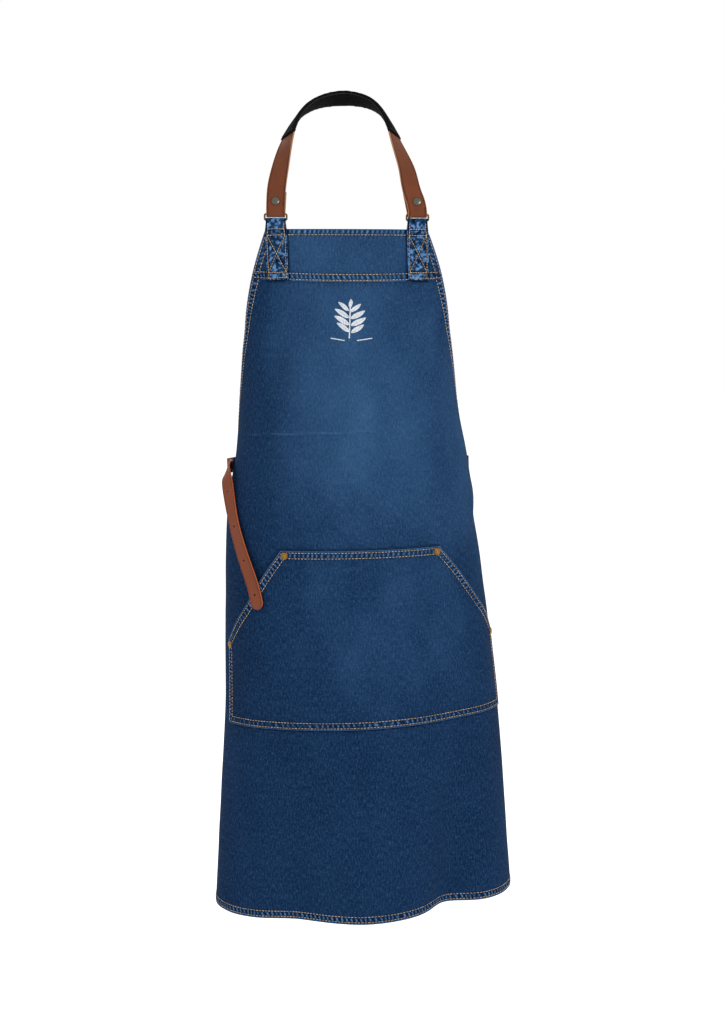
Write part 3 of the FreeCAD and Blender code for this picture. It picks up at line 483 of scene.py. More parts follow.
def puckered(distance, along, seed):
    """Lift of cloth near a double row of stitches, by distance in from the edge, and its marks: worn light
    ridges and darker dips, partly unworn dye and partly painted shade.
    """
    stripes = roping(along, distance, seed)
    between = bell(distance, sum(ROWS) / 2, 3.4)
    rows = bell(distance, ROWS[0], 1.1) + bell(distance, ROWS[1], 1.1)
    beyond = np.where(distance > ROWS[1], np.exp(-(distance - ROWS[1]) / 5.0), 0)
    lift = 0.42 * between * (1 + 0.7 * stripes) - 0.28 * rows + 0.22 * beyond * stripes
    # Dark values at the dips and the rows are partly painted shade.
    wear = between * (0.85 * stripes - 0.16) - 0.4 * rows + beyond * (0.30 * stripes - 0.18)
    wear = wear + 0.4 * bell(distance, 0.0, 0.9)
    return lift, np.clip(wear, -1, 0.9)


def sew(name, runs, body, material, slot="denim", length=3.3, gap=1.0, radius=0.42):
    """Rows of thread stitches. A run is (surface, path in its flat measure, lift)."""
    ring = np.linspace(0, 2 * math.pi, 6, endpoint=False)
    profile = [(-0.50, 0.25, -0.55), (-0.40, 0.85, -0.05), (0.0, 1.0, 0.18), (0.40, 0.85, -0.05),
               (0.50, 0.25, -0.55)]
    local = np.array([(t * length, math.cos(a) * r * radius, math.sin(a) * r * radius + dip * radius * 1.4)
                      for t, r, dip in profile for a in ring])
    quads = [[i * 6 + j, i * 6 + (j + 1) % 6, (i + 1) * 6 + (j + 1) % 6, (i + 1) * 6 + j]
             for i in range(4) for j in range(6)]
    points, tints = [], []
    for surface, path, lift in runs:
        path = np.asarray(path, float)
        steps = np.hypot(*np.diff(path, axis=0).T)
        gone = np.concatenate([[0], np.cumsum(steps)])
        count = int((gone[-1] - gap) // (length + gap))
        if count < 1:
            continue
        middles = (np.arange(count) + 0.5) * gone[-1] / count
        middles = middles + rng.uniform(-0.15, 0.15, count)

        def spot(at, rise):
            u, v = np.interp(at, gone, path[:, 0]), np.interp(at, gone, path[:, 1])
            raised = lift(u, v) if callable(lift) else lift
            return surface(u, v, raised + rise)

        here = spot(middles, 0.0)
        along = spot(middles + 1.2, 0.0) - spot(middles - 1.2, 0.0)
        along /= np.linalg.norm(along, axis=1)[:, None]
        out = spot(middles, 1.0) - here
        out -= along * (out * along).sum(1)[:, None]
        out /= np.linalg.norm(out, axis=1)[:, None]
        wide = np.cross(out, along)
        skew = rng.uniform(-0.07, 0.07, count)[:, None]
        along, wide = along + wide * skew, wide - along * skew
        basis = np.stack([along, wide, out], 1)
        points.append((here[:, None, :] + np.einsum("kc,scx->skx", local * 0.001, basis)).reshape(-1, 3))
        tints.append(np.repeat(rng.uniform(0.15, 1.0, count), len(local)))
    points = np.concatenate(points)
    total = len(points) // len(local)
    faces = [[v + s * len(local) for v in quad] for s in range(total) for quad in quads]
    mesh = make_mesh(name, points, faces, None, wear=np.concatenate(tints))
    return link(name, mesh, body, slot, [material])


ON_TOP = 0.02


def inset_path(corners, count=60):
    """Evenly filled straight runs through corners."""
    path = []
    for (a0, d0), (a1, d1) in zip(corners, corners[1:]):
        for f in np.linspace(0, 1, count):
            path.append((a0 + (a1 - a0) * f, d0 + (d1 - d0) * f))
    return np.array(path)


# ---------------------------------------------------------------- denim body
def uneven(dense, coarse, edge):
    """Places from -1 to 1, `dense` apart up to `edge` from both ends and `coarse` in the middle."""
    outer = np.arange(0, edge, dense)
    count = int(round(2 * (1 - edge) / coarse))
    return np.concatenate([-1 + outer, np.linspace(-1 + edge, 1 - edge, count), (1 - outer)[::-1]])


def around(front, back, edge_low, edge_high):
    """One closed ring a row: front columns, the high edge, back columns in reverse, the low edge."""
    return np.concatenate([front, edge_high[:, None], back[:, ::-1], edge_low[:, None]], axis=1)


RIM = 0.5


def panel(name, node, shares, drops, half_at, face_lift, back_lift, sag=0.0):
    """Cloth piece with a rounded rim. `shares` are columns from -1 to 1 of its half width."""
    d = np.repeat(drops[:, None], len(shares), axis=1)
    half = half_at(drops)[:, None]
    a = shares[None, :] * half
    d = d + sag * (1 - shares[None, :] ** 2) * d / drops[-1]
    face, wear_and_shade_marks = face_lift(a, d)
    rear = np.broadcast_to(back_lift(a, d) if callable(back_lift) else back_lift, a.shape)
    front, back = cloth(a, d, face), cloth(a, d, rear)
    ends = [cloth(side * (half[:, 0] + RIM), drops, (face[:, col] + rear[:, col]) / 2)
            for side, col in ((-1, 0), (1, -1))]
    rows = around(front, back, ends[0], ends[1])
    edge_low, edge_high = flat_measure(-half[:, 0], drops), flat_measure(half[:, 0], drops)
    flat = flat_measure(a, d)
    uv = around(flat, flat, edge_low, edge_high)
    plain = np.zeros_like(a)
    tone = fade_of(a, d)
    worn_rim = plain[:, 0] + 0.3
    wear = around(wear_and_shade_marks, plain, worn_rim, worn_rim)
    fade = around(tone, tone, tone[:, 0], tone[:, -1])
    return doubled(name, node, rows, uv, wear, fade, len(shares))


def doubled(name, node, rows, uv, wear, fade, columns):
    """Denim piece with its pale side on the back columns, in place of the frame's node."""
    back = np.arange(columns + 1, 2 * columns + 1)
    piece = strip(name, rows, uv, "apron", "denim", [DENIM, DENIM_BACK], back=back, wear=wear, fade=fade)
    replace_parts(piece, node)
    return piece


YOKE_LENGTH, YOKE_SAG, YOKE_HALF = 64.0, 5.0, 131
TAB_LENGTH, TAB_WIDTH, TAB_NARROW, TAB_ACROSS = 66.0, 28.4, 25.6, 93.0
WAIST_TAB_WIDTH, WAIST_TAB_REACH, WAIST_TAB_DROP = 23.0, 42.0, 317.0


def yoke_end(a):
    """Drop of the yoke's curved lower edge."""
    return YOKE_LENGTH + YOKE_SAG * (1 - np.clip(a / YOKE_HALF, -1, 1) ** 2)


def beside_tab(a, d):
    """Painted shadow round the doubled tab: the cloth darkened beside and under it."""
    gap = np.abs(np.abs(a) - TAB_ACROSS) - TAB_WIDTH / 2
    inner = np.where(np.abs(a) < TAB_ACROSS, 1.0, 0.45)
    side = np.exp(-(np.clip(gap - 0.6, 0, None) / 1.7) ** 2) * (d < TAB_LENGTH + 1.5) * inner
    under = np.exp(-(np.clip(d - TAB_LENGTH - 0.4, 0, None) / 2.0) ** 2) * (d > TAB_LENGTH - 2) * (gap < 0.8)
    return -0.95 * np.maximum(side, under)


POCKET_TOP, POCKET_HAND, POCKET_BOTTOM = 418.0, 543.0, 655.0
TOP_HALF, HAND_HALF, BOTTOM_HALF = 108.0, 213.0, 218.0
POCKET_ROOM, POCKET_RISE = 6.0, 55.0
POCKET_SEAM = 5 * SEWN
HAND_BOW = 6.5


def pocket_half(drop):
    """Half width of the pocket. Its mouths bow in, so they look straight round the body."""
    half = np.interp(drop, [POCKET_TOP, POCKET_HAND, POCKET_BOTTOM], [TOP_HALF, HAND_HALF, BOTTOM_HALF])
    share = np.clip((np.asarray(drop) - POCKET_TOP) / (POCKET_HAND - POCKET_TOP), 0, 1)
    return half - HAND_BOW * np.sin(math.pi * share ** 1.5)


MOUTH = [(float(pocket_half(d)), d) for d in np.linspace(POCKET_TOP, POCKET_HAND, 9)]
POCKET_CORNERS = [(-MOUTH[0][0], MOUTH[0][1]), *MOUTH, (BOTTOM_HALF, POCKET_BOTTOM),
                  (-BOTTOM_HALF, POCKET_BOTTOM), *[(-a, d) for a, d in MOUTH[:0:-1]]]
POCKET_SIDES = list(zip(POCKET_CORNERS, POCKET_CORNERS[1:] + POCKET_CORNERS[:1]))
SEWN_LINES = [((-TOP_HALF, POCKET_TOP), (TOP_HALF, POCKET_TOP)),
              ((-BOTTOM_HALF, POCKET_BOTTOM), (BOTTOM_HALF, POCKET_BOTTOM)),
              ((HAND_HALF, POCKET_HAND), (BOTTOM_HALF, POCKET_BOTTOM)),
              ((-HAND_HALF, POCKET_HAND), (-BOTTOM_HALF, POCKET_BOTTOM))]


def line_gap(a, d, start, end):
    """Flat distance to a line and the place along it."""
    dx, dy = end[0] - start[0], end[1] - start[1]
    length = math.hypot(dx, dy)
    f = np.clip(((a - start[0]) * dx + (d - start[1]) * dy) / length ** 2, 0, 1)
    return np.hypot(a - start[0] - f * dx, d - start[1] - f * dy), f * length


def pocket_edge_gap(a, d):
    """Flat distance outside the pocket's outline; large inside it."""
    inside = (np.abs(a) < pocket_half(d)) & (d > POCKET_TOP) & (d < POCKET_BOTTOM)
    gap = np.min([line_gap(a, d, start, end)[0] for start, end in POCKET_SIDES], axis=0)
    return np.where(inside, 1e3, gap)


def body_face(a, d):
    """Face of the body panel: puckers under the yoke and round the pocket, a soft crease at the waist with a
    painted highlight and painted shade line, and painted shadow along the pocket's edge and round the tabs.
    """
    end = yoke_end(a)
    below = np.where(d > end, np.exp(-(d - end) / 6.0), 0)
    stripes = roping(a, 0.0, 11)
    round_pocket = pocket_edge_gap(a, d)
    near = np.exp(-round_pocket / 6.0)
    pocket_stripes = roping(a + d, 0.0, 13)
    off = d - (266.0 - 0.0387 * (a + 57))
    # Where the waist crease gets its painted highlight and painted shade line.
    crease_paint = np.clip((a + 172) / 30, 0, 1) * np.clip((30 - a) / 30, 0, 1)
    crease_paint = crease_paint * (0.75 + 0.5 * noise(a / 16, d / 40, 23))
    lift = 0.15 * below * stripes + 0.12 * near * pocket_stripes
    wear_and_shade_marks = below * (0.4 * stripes - 0.25) + near * (0.30 * pocket_stripes - 0.12)
    # Painted highlight along the crease and painted shade just below it.
    wear_and_shade_marks = wear_and_shade_marks + crease_paint * (0.17 * bell(off, 0.0, 1.0) - 0.14 * bell(off, 2.4, 1.5))
    # Painted shadow in a strip along the outside of the pocket's edge.
    wear_and_shade_marks = wear_and_shade_marks - 0.85 * np.exp(-(np.clip(round_pocket, 0, None) / 1.6) ** 2)
    # The tabs' painted shadow is added below the yoke.
    return lift, np.clip(wear_and_shade_marks + beside_tab(a, d) * (d > end), -1, 0.8)


body_drops = np.linspace(0, BODY_LENGTH, 372)
body = panel("denim_body", "body_panel", uneven(0.006, 0.0168, 0.05), body_drops, half_cut, body_face, -THICK)


# Columns of a turned hem: how far in from the edge in front, then (how far in, lift) round and behind it.
HEM_FRONT = [12.6, 11.6, 10.6, 9.6, 8.6, 7.4, 6.0, 4.6, 3.4, 2.4, 1.4, 0.5]
HEM_BACK = [(-0.7, -0.2), (-0.9, -1.0), (-0.5, -1.9), (1.5, -2.2), (4.0, -2.25), (7.0, -2.25), (9.6, -2.1),
            (11.5, -2.1), (12.4, -1.7), (12.6, -0.9)]


def hem_band(name, spots, inward, seed):
    """Turned hem over an edge of the body: spots are flat points along the edge, inward their way in."""
    steps = np.hypot(*np.diff(spots, axis=0).T)
    along = np.concatenate([[0], np.cumsum(steps)])
    ring, uv, wear, fade = [], [], [], []

    def column(distance, lift, wear_and_shade_marks):
        a, d = (spots + inward * distance).T
        ring.append(cloth(a, d, lift))
        uv.append(flat_measure(a, d))
        wear.append(wear_and_shade_marks)
        fade.append(fade_of(a, d))

    for distance in HEM_FRONT:
        lift, wear_and_shade_marks = puckered(np.full_like(along, distance), along, seed)
        column(distance, lift + (-0.35 if distance > 12 else 0.12), wear_and_shade_marks)
    for distance, rise in HEM_BACK:
        stripes = 0.25 * roping(along, distance, seed)
        column(distance, rise + stripes, stripes + (0.15 if distance < 0 else 0))
    back = np.arange(len(HEM_FRONT) + 3, len(ring))
    return strip(name, np.stack(ring, 1), np.stack(uv, 1), "apron", "denim", [DENIM, DENIM_BACK], back=back,
                 wear=np.stack(wear, 1), fade=np.stack(fade, 1))


def inward_of(spots):
    """Unit flat directions square to an edge, towards the panel's middle."""
    tangent = np.gradient(spots, axis=0)
    square = np.stack([-tangent[:, 1], tangent[:, 0]], -1)
    square /= np.linalg.norm(square, axis=1)[:, None]
    facing = np.sign(((PANEL_MIDDLE - spots) * square).sum(1))
    return square * facing[:, None]


PANEL_MIDDLE = np.array([0, 460])
bottom_half = float(half_cut(BODY_LENGTH))
edge_drops = np.linspace(0, BODY_LENGTH, 740)
bottom = np.linspace(-bottom_half, bottom_half, 480)
hem_edges = [("left", np.stack([-half_cut(edge_drops), edge_drops], -1), 19),
             ("right", np.stack([half_cut(edge_drops), edge_drops], -1), 21),
             ("bottom", np.stack([bottom, np.full_like(bottom, BODY_LENGTH)], -1), 31)]
hem_runs, hems = [], []
for label, spots, seed in hem_edges:
    inward = inward_of(spots)
    hems.append(hem_band(f"hem_{label}", spots, inward, seed))
    hem_runs += [(cloth, (spots + inward * distance)[4:-4], 0.05) for distance in ROWS]
hem_stitches = sew("hem_stitching", hem_runs, "apron", GOLD_THREAD)

# ---------------------------------------------------------------- yoke
YOKE_INSET, TOP_ROW = 0.8, 7.6


def yoke_cut(drop):
    return half_cut(drop) - YOKE_INSET


def yoke_face(a, d):
    """Face of the yoke: a wide hem along its top, double rows on the other edges, painted shade in their dips
    and painted shadow round the tabs.
    """
    low, wear_and_shade_low = puckered(yoke_end(a) - d, a, 41)
    stripes = roping(a, d, 43)
    top_band = bell(d, 3.4, 3.0)
    top_row = bell(d, TOP_ROW, 1.1)
    beyond = np.where(d > TOP_ROW, np.exp(-(d - TOP_ROW) / 4.0), 0)
    high = 0.4 * top_band * (1 + 0.7 * stripes) - 0.28 * top_row + 0.15 * beyond * stripes
    # The top band's darker dips and row are partly painted shade, as in the puckers.
    wear_and_shade_high = top_band * (0.85 * stripes - 0.12) - 0.4 * top_row + beyond * (0.35 * stripes - 0.15)
    edge, wear_and_shade_edge = puckered(yoke_cut(d) - np.abs(a), d, 45)
    # Wear, painted shade in the puckers and the painted shadow round the tabs together.
    wear_and_shade_marks = wear_and_shade_low + wear_and_shade_high + 0.8 * wear_and_shade_edge + beside_tab(a, d)
    return SEWN + THICK + low + high + 0.6 * edge, np.clip(wear_and_shade_marks, -1, 0.9)


yoke = panel("denim_yoke", "bib_yoke", uneven(0.011, 0.0145, 0.11), np.linspace(1, YOKE_LENGTH, 50), yoke_cut,
             yoke_face, SEWN * 0.4, sag=YOKE_SAG)
across = np.linspace(-127, 127, 90)
yoke_paths = [np.stack([across, yoke_end(across) - distance], -1) for distance in (2.0, 9.6)]
yoke_paths.append(inset_path([(-104, TOP_ROW), (104, TOP_ROW)]))
drops = np.linspace(2, 63, 40)
for sign in (-1, 1):
    yoke_paths += [np.stack([sign * (half_cut(drops) - distance), drops], -1) for distance in ROWS]
yoke_lift = SEWN + THICK + ON_TOP
yoke_stitches = sew("yoke_stitching", [(cloth, path, yoke_lift) for path in yoke_paths], "apron", GOLD_THREAD)

# ---------------------------------------------------------------- pocket
def pocket_lift(a, d):
    """Room behind the pocket: least at its seams, most in its middle and at its mouths."""
    gap = np.min([line_gap(a, d, start, end)[0] for start, end in SEWN_LINES], axis=0)
    f = np.clip(gap / POCKET_RISE, 0, 1)
    return POCKET_SEAM + POCKET_ROOM * f * f * (3 - 2 * f)


def pocket_top(a, d):
    return pocket_lift(a, d) + THICK


def pocket_face(a, d):
    """Face of the pocket, puckered along its whole outline."""
    nearest = np.full_like(a, 1e3)
    along = np.zeros_like(a)
    done = 0.0
    for start, end in POCKET_SIDES:
        gap, place = line_gap(a, d, start, end)
        closer = gap < nearest
        nearest, along = np.where(closer, gap, nearest), np.where(closer, place + done, along)
        done += math.hypot(end[0] - start[0], end[1] - start[1])
    pucker, wear_and_shade_marks = puckered(nearest, along, 61)
    return pocket_top(a, d) + pucker, wear_and_shade_marks


pocket_drops = np.concatenate([np.linspace(POCKET_TOP, POCKET_HAND, 86),
                               np.linspace(POCKET_HAND, POCKET_BOTTOM, 76)[1:]])
pocket = panel("denim_pocket", "pocket_panel", uneven(0.0072, 0.0155, 0.08), pocket_drops, pocket_half,
               pocket_face, pocket_lift)


def pocket_rows(distance):
    """The pocket's outline moved in by a distance."""
    corners = np.array(POCKET_CORNERS)
    moved = []
    for before, here, after in zip(np.roll(corners, 1, axis=0), corners, np.roll(corners, -1, axis=0)):
        one, two = (step / np.linalg.norm(step) for step in (here - before, after - here))
        n1, n2 = np.array([-one[1], one[0]]), np.array([-two[1], two[0]])
        bisector = (n1 + n2) / (1 + n1 @ n2)
        moved.append(tuple(here + bisector * distance))
    return moved


def over_pocket(a, d):
    return pocket_top(a, d) + ON_TOP


pocket_runs = []
turns = (0, 1, len(MOUTH), len(MOUTH) + 1, len(MOUTH) + 2, len(MOUTH) + 3, len(POCKET_CORNERS))
for distance in ROWS:
    corners = pocket_rows(distance)
    corners.append(corners[0])
    for start, end in zip(turns, turns[1:]):
        run = corners[start:end + 1]
        pocket_runs.append((cloth, inset_path(run, 90 if len(run) < 3 else 14), over_pocket))
pocket_stitches = sew("pocket_stitching", pocket_runs, "apron", GOLD_THREAD)

# ---------------------------------------------------------------- folded tabs
WIRE, FIT = 1.5, 0.3
TAB_FOLD = WIRE + FIT + THICK / 2
FACE_MIDDLE, BACK_MIDDLE = 2 * (SEWN + THICK) - THICK / 2, -THICK - SEWN - THICK / 2


def resample(points, outs, pitch):
    """Even steps along a middle line, with its outer directions."""
    gone = np.concatenate([[0], np.cumsum(np.linalg.norm(np.diff(points, axis=0), axis=1))])
    at = np.linspace(0, gone[-1], max(3, int(round(gone[-1] / pitch)) + 1))
    line = np.stack([np.interp(at, gone, points[:, k]) for k in range(3)], -1)
    out = np.stack([np.interp(at, gone, outs[:, k]) for k in range(3)], -1)
    return line, out, at


class Band:
    """A flat band along a middle line: its surface takes (across, along, lift) in millimetres."""

    def __init__(self, points, outs, pitch=1.3):
        self.line, out, self.at = resample(np.asarray(points, float), np.asarray(outs, float), pitch)
        along = np.gradient(self.line, axis=0)
        self.along = along / np.linalg.norm(along, axis=1)[:, None]
        out = out - self.along * (out * self.along).sum(1)[:, None]
        self.out = out / np.linalg.norm(out, axis=1)[:, None]
        self.wide = np.cross(self.along, self.out)
        self.length = self.at[-1]

    def surface(self, across, along, lift):
        def at(values):
            return np.stack([np.interp(along, self.at, values[:, k]) for k in range(3)], -1)
        across, lift = np.asarray(across, float)[..., None], np.asarray(lift, float)[..., None]
        return (at(self.line) + at(self.wide) * across + at(self.out) * lift) * 0.001


TAB_ROW, TAB_TURN = 2.2, 14.0


def tab_relief(u, v, width, box_start, box_end, seed):
    """Puckers of a box-and-cross sewn tab: lift and wear."""
    edge = width / 2 - np.abs(u)
    lift = 0.16 * noise(u / 4.2, v / 3.6, seed) + 0.34 * noise(u / 2.6, v / 2.2, seed + 1)
    rows = bell(edge, TAB_ROW, 1.0)
    for place in (box_start, box_end, box_end + 7):
        rows = rows + bell(v, place, 1.0)
    slope = (box_end - box_start) / (width - 2 * TAB_ROW)
    for flip in (-1, 1):
        off = np.abs((v - (box_start + box_end) / 2) - flip * slope * u) / math.hypot(1, slope)
        rows = rows + np.where((v > box_start) & (v < box_end), bell(off, 0, 1.0), 0)
    lift = lift - 0.35 * np.clip(rows, 0, 1.4)
    wear = 2.7 * lift - 0.06 - 0.1 * np.clip(rows, 0, 1) + 0.5 * bell(edge, 0.2, 0.8)
    return lift, np.clip(wear, -0.95, 0.62)


def tab(node, band, width, narrow, box, seed):
    """Doubled denim loop, sewn down in front and behind, gathered to `narrow` at its ring."""
    shares = np.linspace(-1, 1, 29)
    v = band.at
    middle = band.length / 2
    gathered = np.clip((20 - np.abs(v - middle)) / 12, 0, 1)
    widths = width - (width - narrow) * gathered
    u = shares[None, :] * (widths / 2)[:, None]
    vv = np.repeat(v[:, None], len(shares), 1)
    lift, wear = tab_relief(u, vv, width, *box, seed)
    calm = np.clip((TAB_TURN - np.abs(v - middle)) / 5, 0, 1)
    lift = np.minimum(lift, lift * (1 - calm[:, None]))
    face = band.surface(u, vv, THICK / 2 + lift)
    rear = band.surface(u, vv, np.full_like(u, -THICK / 2))
    ends = [band.surface(side * (widths / 2 + 0.35), v, np.zeros_like(v)) for side in (-1, 1)]
    rows = around(face, rear, ends[0], ends[1])
    flat = flat_measure(u, vv)
    uv = around(flat, flat, flat[:, 0], flat[:, -1])
    tone = np.full(rows.shape[:2], 0.52)
    wear_and_shade_marks = around(wear, np.zeros_like(wear), wear[:, 0], wear[:, -1])
    return doubled(f"{node}_cloth", node, rows, uv, wear_and_shade_marks, tone, len(shares))


def half_turn(start, end):
    """Unit directions swept from one direction through the other, 180 degrees in all."""
    turn = np.radians(np.linspace(0, 180, 19))[:, None]
    return start * np.cos(turn) + end * np.sin(turn)


def folded(front, bar, radial, back):
    """Band that runs up the front layer, round a bar and down the back layer."""
    points = np.concatenate([front[0], bar + radial * TAB_FOLD, back[0]])
    return Band(points, np.concatenate([front[1], radial, -back[1]]))


def cloth_line(places, lift):
    """Middle-line points (mm) and outward directions over flat places."""
    a, d = np.array(places, float).T
    here = cloth(a, d, lift) * 1000
    return here, cloth(a, d, lift + 1) * 1000 - here


# Middles of the bars that the folds turn round, as the frame has them.
low_bar = {"left": np.array([-93.0, -134.5, -171.3]), "right": np.array([93.0, -134.5, -171.3])}
high_bar = {side: bar + np.array([0, 0, 7.5]) for side, bar in low_bar.items()}
inner_bar = {"left": np.array([-136.664, -9.574, -500.884]), "right": np.array([156.248, -8.108, -499.126])}
outer_bar = {"left": np.array([-146.087, -4.942, -500.884]), "right": np.array([146.998, -3.139, -499.126])}
heel_bar = np.array([90.443, 27.245, -753.126])
bar_direction = np.array([0.473, 0.881, 0.0])
UP = np.array([0.0, 0.0, 1.0])

tabs, tab_runs = [], []


def sew_tab(band, sides, rows, box, edge):
    """Adds a tab's stitches: both long sides, the rows across it and the cross in its box."""
    low, high = box
    paths = [[(sign * u, v) for u, v in sides] for sign in (-1, 1)]
    paths += [[(-half, v), (half, v)] for half, v in rows]
    paths += [[(-edge, low), (edge, high)], [(edge, low), (-edge, high)]]
    tab_runs.extend((band.surface, inset_path(path, 30), THICK / 2 - 0.1) for path in paths)


NECK_BOX, WAIST_BOX = (9.6, 58.0), (8.0, 34.0)
for side, sign in (("left", -1), ("right", 1)):
    front = cloth_line([(sign * TAB_ACROSS, d) for d in np.linspace(TAB_LENGTH, 2, 20)], FACE_MIDDLE)
    back = cloth_line([(sign * TAB_ACROSS, d) for d in np.linspace(2, TAB_LENGTH, 20)], BACK_MIDDLE)
    band = folded(front, low_bar[side], half_turn(np.array([0, -1.0, 0]), UP), back)
    tabs.append(tab(f"neck_tab_{side}", band, TAB_WIDTH, TAB_NARROW, NECK_BOX, 70 + sign))
    edge = TAB_WIDTH / 2 - TAB_ROW
    pinch = edge - (TAB_WIDTH - TAB_NARROW) / 2
    sew_tab(band, [(edge, 1.5), (edge, 55), (pinch, 66), (pinch, 74)],
            [(edge, 2.6), (edge, NECK_BOX[0]), (edge, NECK_BOX[1]), (pinch, 66)], NECK_BOX, edge)
for side, sign in (("left", -1), ("right", 1)):
    waist_half = float(half_cut(WAIST_TAB_DROP))
    spots = [(sign * (waist_half - r), WAIST_TAB_DROP) for r in np.linspace(WAIST_TAB_REACH, 2, 16)]
    front = cloth_line(spots, SEWN + THICK / 2 + 0.5)
    back = cloth_line(spots[::-1], BACK_MIDDLE)
    brink = [(sign * waist_half, WAIST_TAB_DROP), (sign * (waist_half - 4), WAIST_TAB_DROP)]
    edge_point, inner_point = cloth_line(brink, -THICK / 2)[0]
    away = edge_point - inner_point
    away[2] = 0
    away /= np.linalg.norm(away)
    outward = np.array([sign * away[1], -sign * away[0], 0])
    band = folded(front, inner_bar[side], half_turn(outward, away), back)
    tabs.append(tab(f"waist_tab_{side}", band, WAIST_TAB_WIDTH, WAIST_TAB_WIDTH, WAIST_BOX, 80 + sign))
    edge = WAIST_TAB_WIDTH / 2 - TAB_ROW
    sew_tab(band, [(edge, 1.5), (edge, WAIST_TAB_REACH)],
            [(edge, 2.4), (edge, WAIST_BOX[0]), (edge, WAIST_BOX[1])], WAIST_BOX, edge)
sew("tab_stitching", tab_runs, "apron", GOLD_THREAD, length=2.9, gap=0.45)

# ---------------------------------------------------------------- leather straps
NECK_LEATHER_THICK, WAIST_LEATHER_THICK, NECK_WIDTH, WAIST_WIDTH = 2.4, 2.0, 25.0, 20.0


def spline(route, pitch):
    """Smooth curve through a route, natural at its ends, in even steps."""
    route = np.asarray(route, float)
    t = np.concatenate([[0], np.cumsum(np.linalg.norm(np.diff(route, axis=0), axis=1))])
    n, h = len(route), np.diff(t)
    system, right = np.eye(n), np.zeros((n, 3))
    for i in range(1, n - 1):
        system[i, i - 1:i + 2] = h[i - 1], 2 * (h[i - 1] + h[i]), h[i]
        right[i] = 6 * ((route[i + 1] - route[i]) / h[i] - (route[i] - route[i - 1]) / h[i - 1])
    bend = np.linalg.solve(system, right)
    at = np.linspace(0, t[-1], int(t[-1] / pitch) + 2)
    i = np.clip(np.searchsorted(t, at) - 1, 0, n - 2)
    a, b = ((t[i + 1] - at) / h[i])[:, None], ((at - t[i]) / h[i])[:, None]
    curve = ((a**3 - a) * bend[i] + (b**3 - b) * bend[i + 1]) * (h[i] ** 2)[:, None] / 6
    return a * route[i] + b * route[i + 1] + curve


def blended(points, route, outs):
    """Outer directions turned evenly between those set at the route's points."""
    route, outs = np.asarray(route, float), np.asarray(outs, float)
    marks = np.array([np.argmin(np.linalg.norm(points - spot, axis=1)) for spot in route])
    at = np.arange(len(points))
    total = np.stack([np.interp(at, marks, outs[:, k]) for k in range(3)], -1)
    for _ in range(24):
        total = np.concatenate([total[:1], total, total[-1:]])
        total = total[:-2] + 2 * total[1:-1] + total[2:]
        total /= np.linalg.norm(total, axis=1)[:, None]
    return total


def hairpin(bar, away, front, radius, flap, rise, swerve=np.zeros(3)):
    """Middle line folded round a bar: the flap's end first, the front layer last."""
    f = np.linspace(1, 0, 9)[:, None]
    turn = np.radians(np.linspace(12, 168, 14))[:, None]
    radial = away * -np.sin(turn) - front * np.cos(turn)
    g = np.linspace(0, 1, 8)[:, None]
    points = np.concatenate([bar + away * flap * f - front * radius, bar + radial * radius,
                             bar + away * rise * g + front * radius + swerve * g ** 2])
    return points, np.concatenate([np.tile(-front, (len(f), 1)), radial, np.tile(front, (len(g), 1))])


def strap(name, band, width, thick, node, body, material, taper=None):
    """Leather strap with rounded edges; taper gives its width by the place along it."""
    half_thick = thick / 2
    roll = half_thick * 0.75
    section = [(1.0, roll * (math.cos(t) - 1), half_thick * math.sin(t))
               for t in np.radians(np.linspace(90, -90, 9))]
    inner = [-0.93, -0.6, -0.2, 0.2, 0.6, 0.93]
    ring = [(share, 0, half_thick) for share in inner]
    ring += section
    ring += [(share, 0, -half_thick) for share in inner[::-1]]
    ring += [(-share, -inset, height) for share, inset, height in section[::-1]]
    v = band.at
    widths = np.full_like(v, width) if taper is None else taper(v)
    columns, flats, wear_and_shade_marks = [], [], []
    for share, inset, height in ring:
        u = share * widths / 2 + inset
        u = np.where(widths > 1.0, u, share * widths / 2)
        columns.append(band.surface(u, v, np.full_like(v, height)))
        flats.append(flat_measure(u, v + (0 if height >= 0 else 400)))
        edge = 1.0 if abs(share) == 1 else 0.0
        wear_and_shade_marks.append(np.full_like(v, edge))
    piece = strip(name, np.stack(columns, 1), np.stack(flats, 1), body, "strap_leather", [material],
                  wear=np.stack(wear_and_shade_marks, 1), cap=False)
    face_outwards(piece.data, close_holes=True)
    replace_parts(piece, node)
    return piece


FLAP = 34
LEAN = math.radians(24)
up_strap = np.array([0, math.sin(LEAN), math.cos(LEAN)])
front_strap = np.array([0, -math.cos(LEAN), math.sin(LEAN)])
NECK_FOLD = WIRE + FIT + NECK_LEATHER_THICK / 2
# Middle lines of the straps between their folds, and the way the leather faces at each point.
NECK_ROUTE = [(-87, -104, -104), (-81, -84, -77), (-73, -62, -51), (-61, -41, -27), (-37, -16, -6),
              (-2, 1, 3.2), (34, -15, -3), (56, -41, -24), (66, -62, -49), (74, -84, -76), (82, -104, -104)]
NECK_OUTS = [(-.30, -.76, .50), (-.52, -.52, .60), (-.70, -.20, .66), (-.70, .10, .70), (-.42, .42, .80),
             (0, .60, .80),
             (.42, .42, .80), (.70, .10, .70), (.70, -.20, .66), (.52, -.52, .60), (.30, -.76, .50)]
NECK_RISE, NECK_STRAIGHT = 23.4, 4.0
NECK_SWERVES = {"left": np.array([0.6, 0, 0]), "right": np.array([-3.7, 0, 0])}
ends, starts = {}, {}
for side, swerve in NECK_SWERVES.items():
    ends[side] = hairpin(high_bar[side], up_strap, front_strap, NECK_FOLD, FLAP, NECK_RISE, swerve)
    last = ends[side][0][-1]
    starts[side] = [last, last + up_strap * NECK_STRAIGHT + swerve * (2 * NECK_STRAIGHT / NECK_RISE)]
route = [*starts["left"], *NECK_ROUTE, *starts["right"][::-1]]
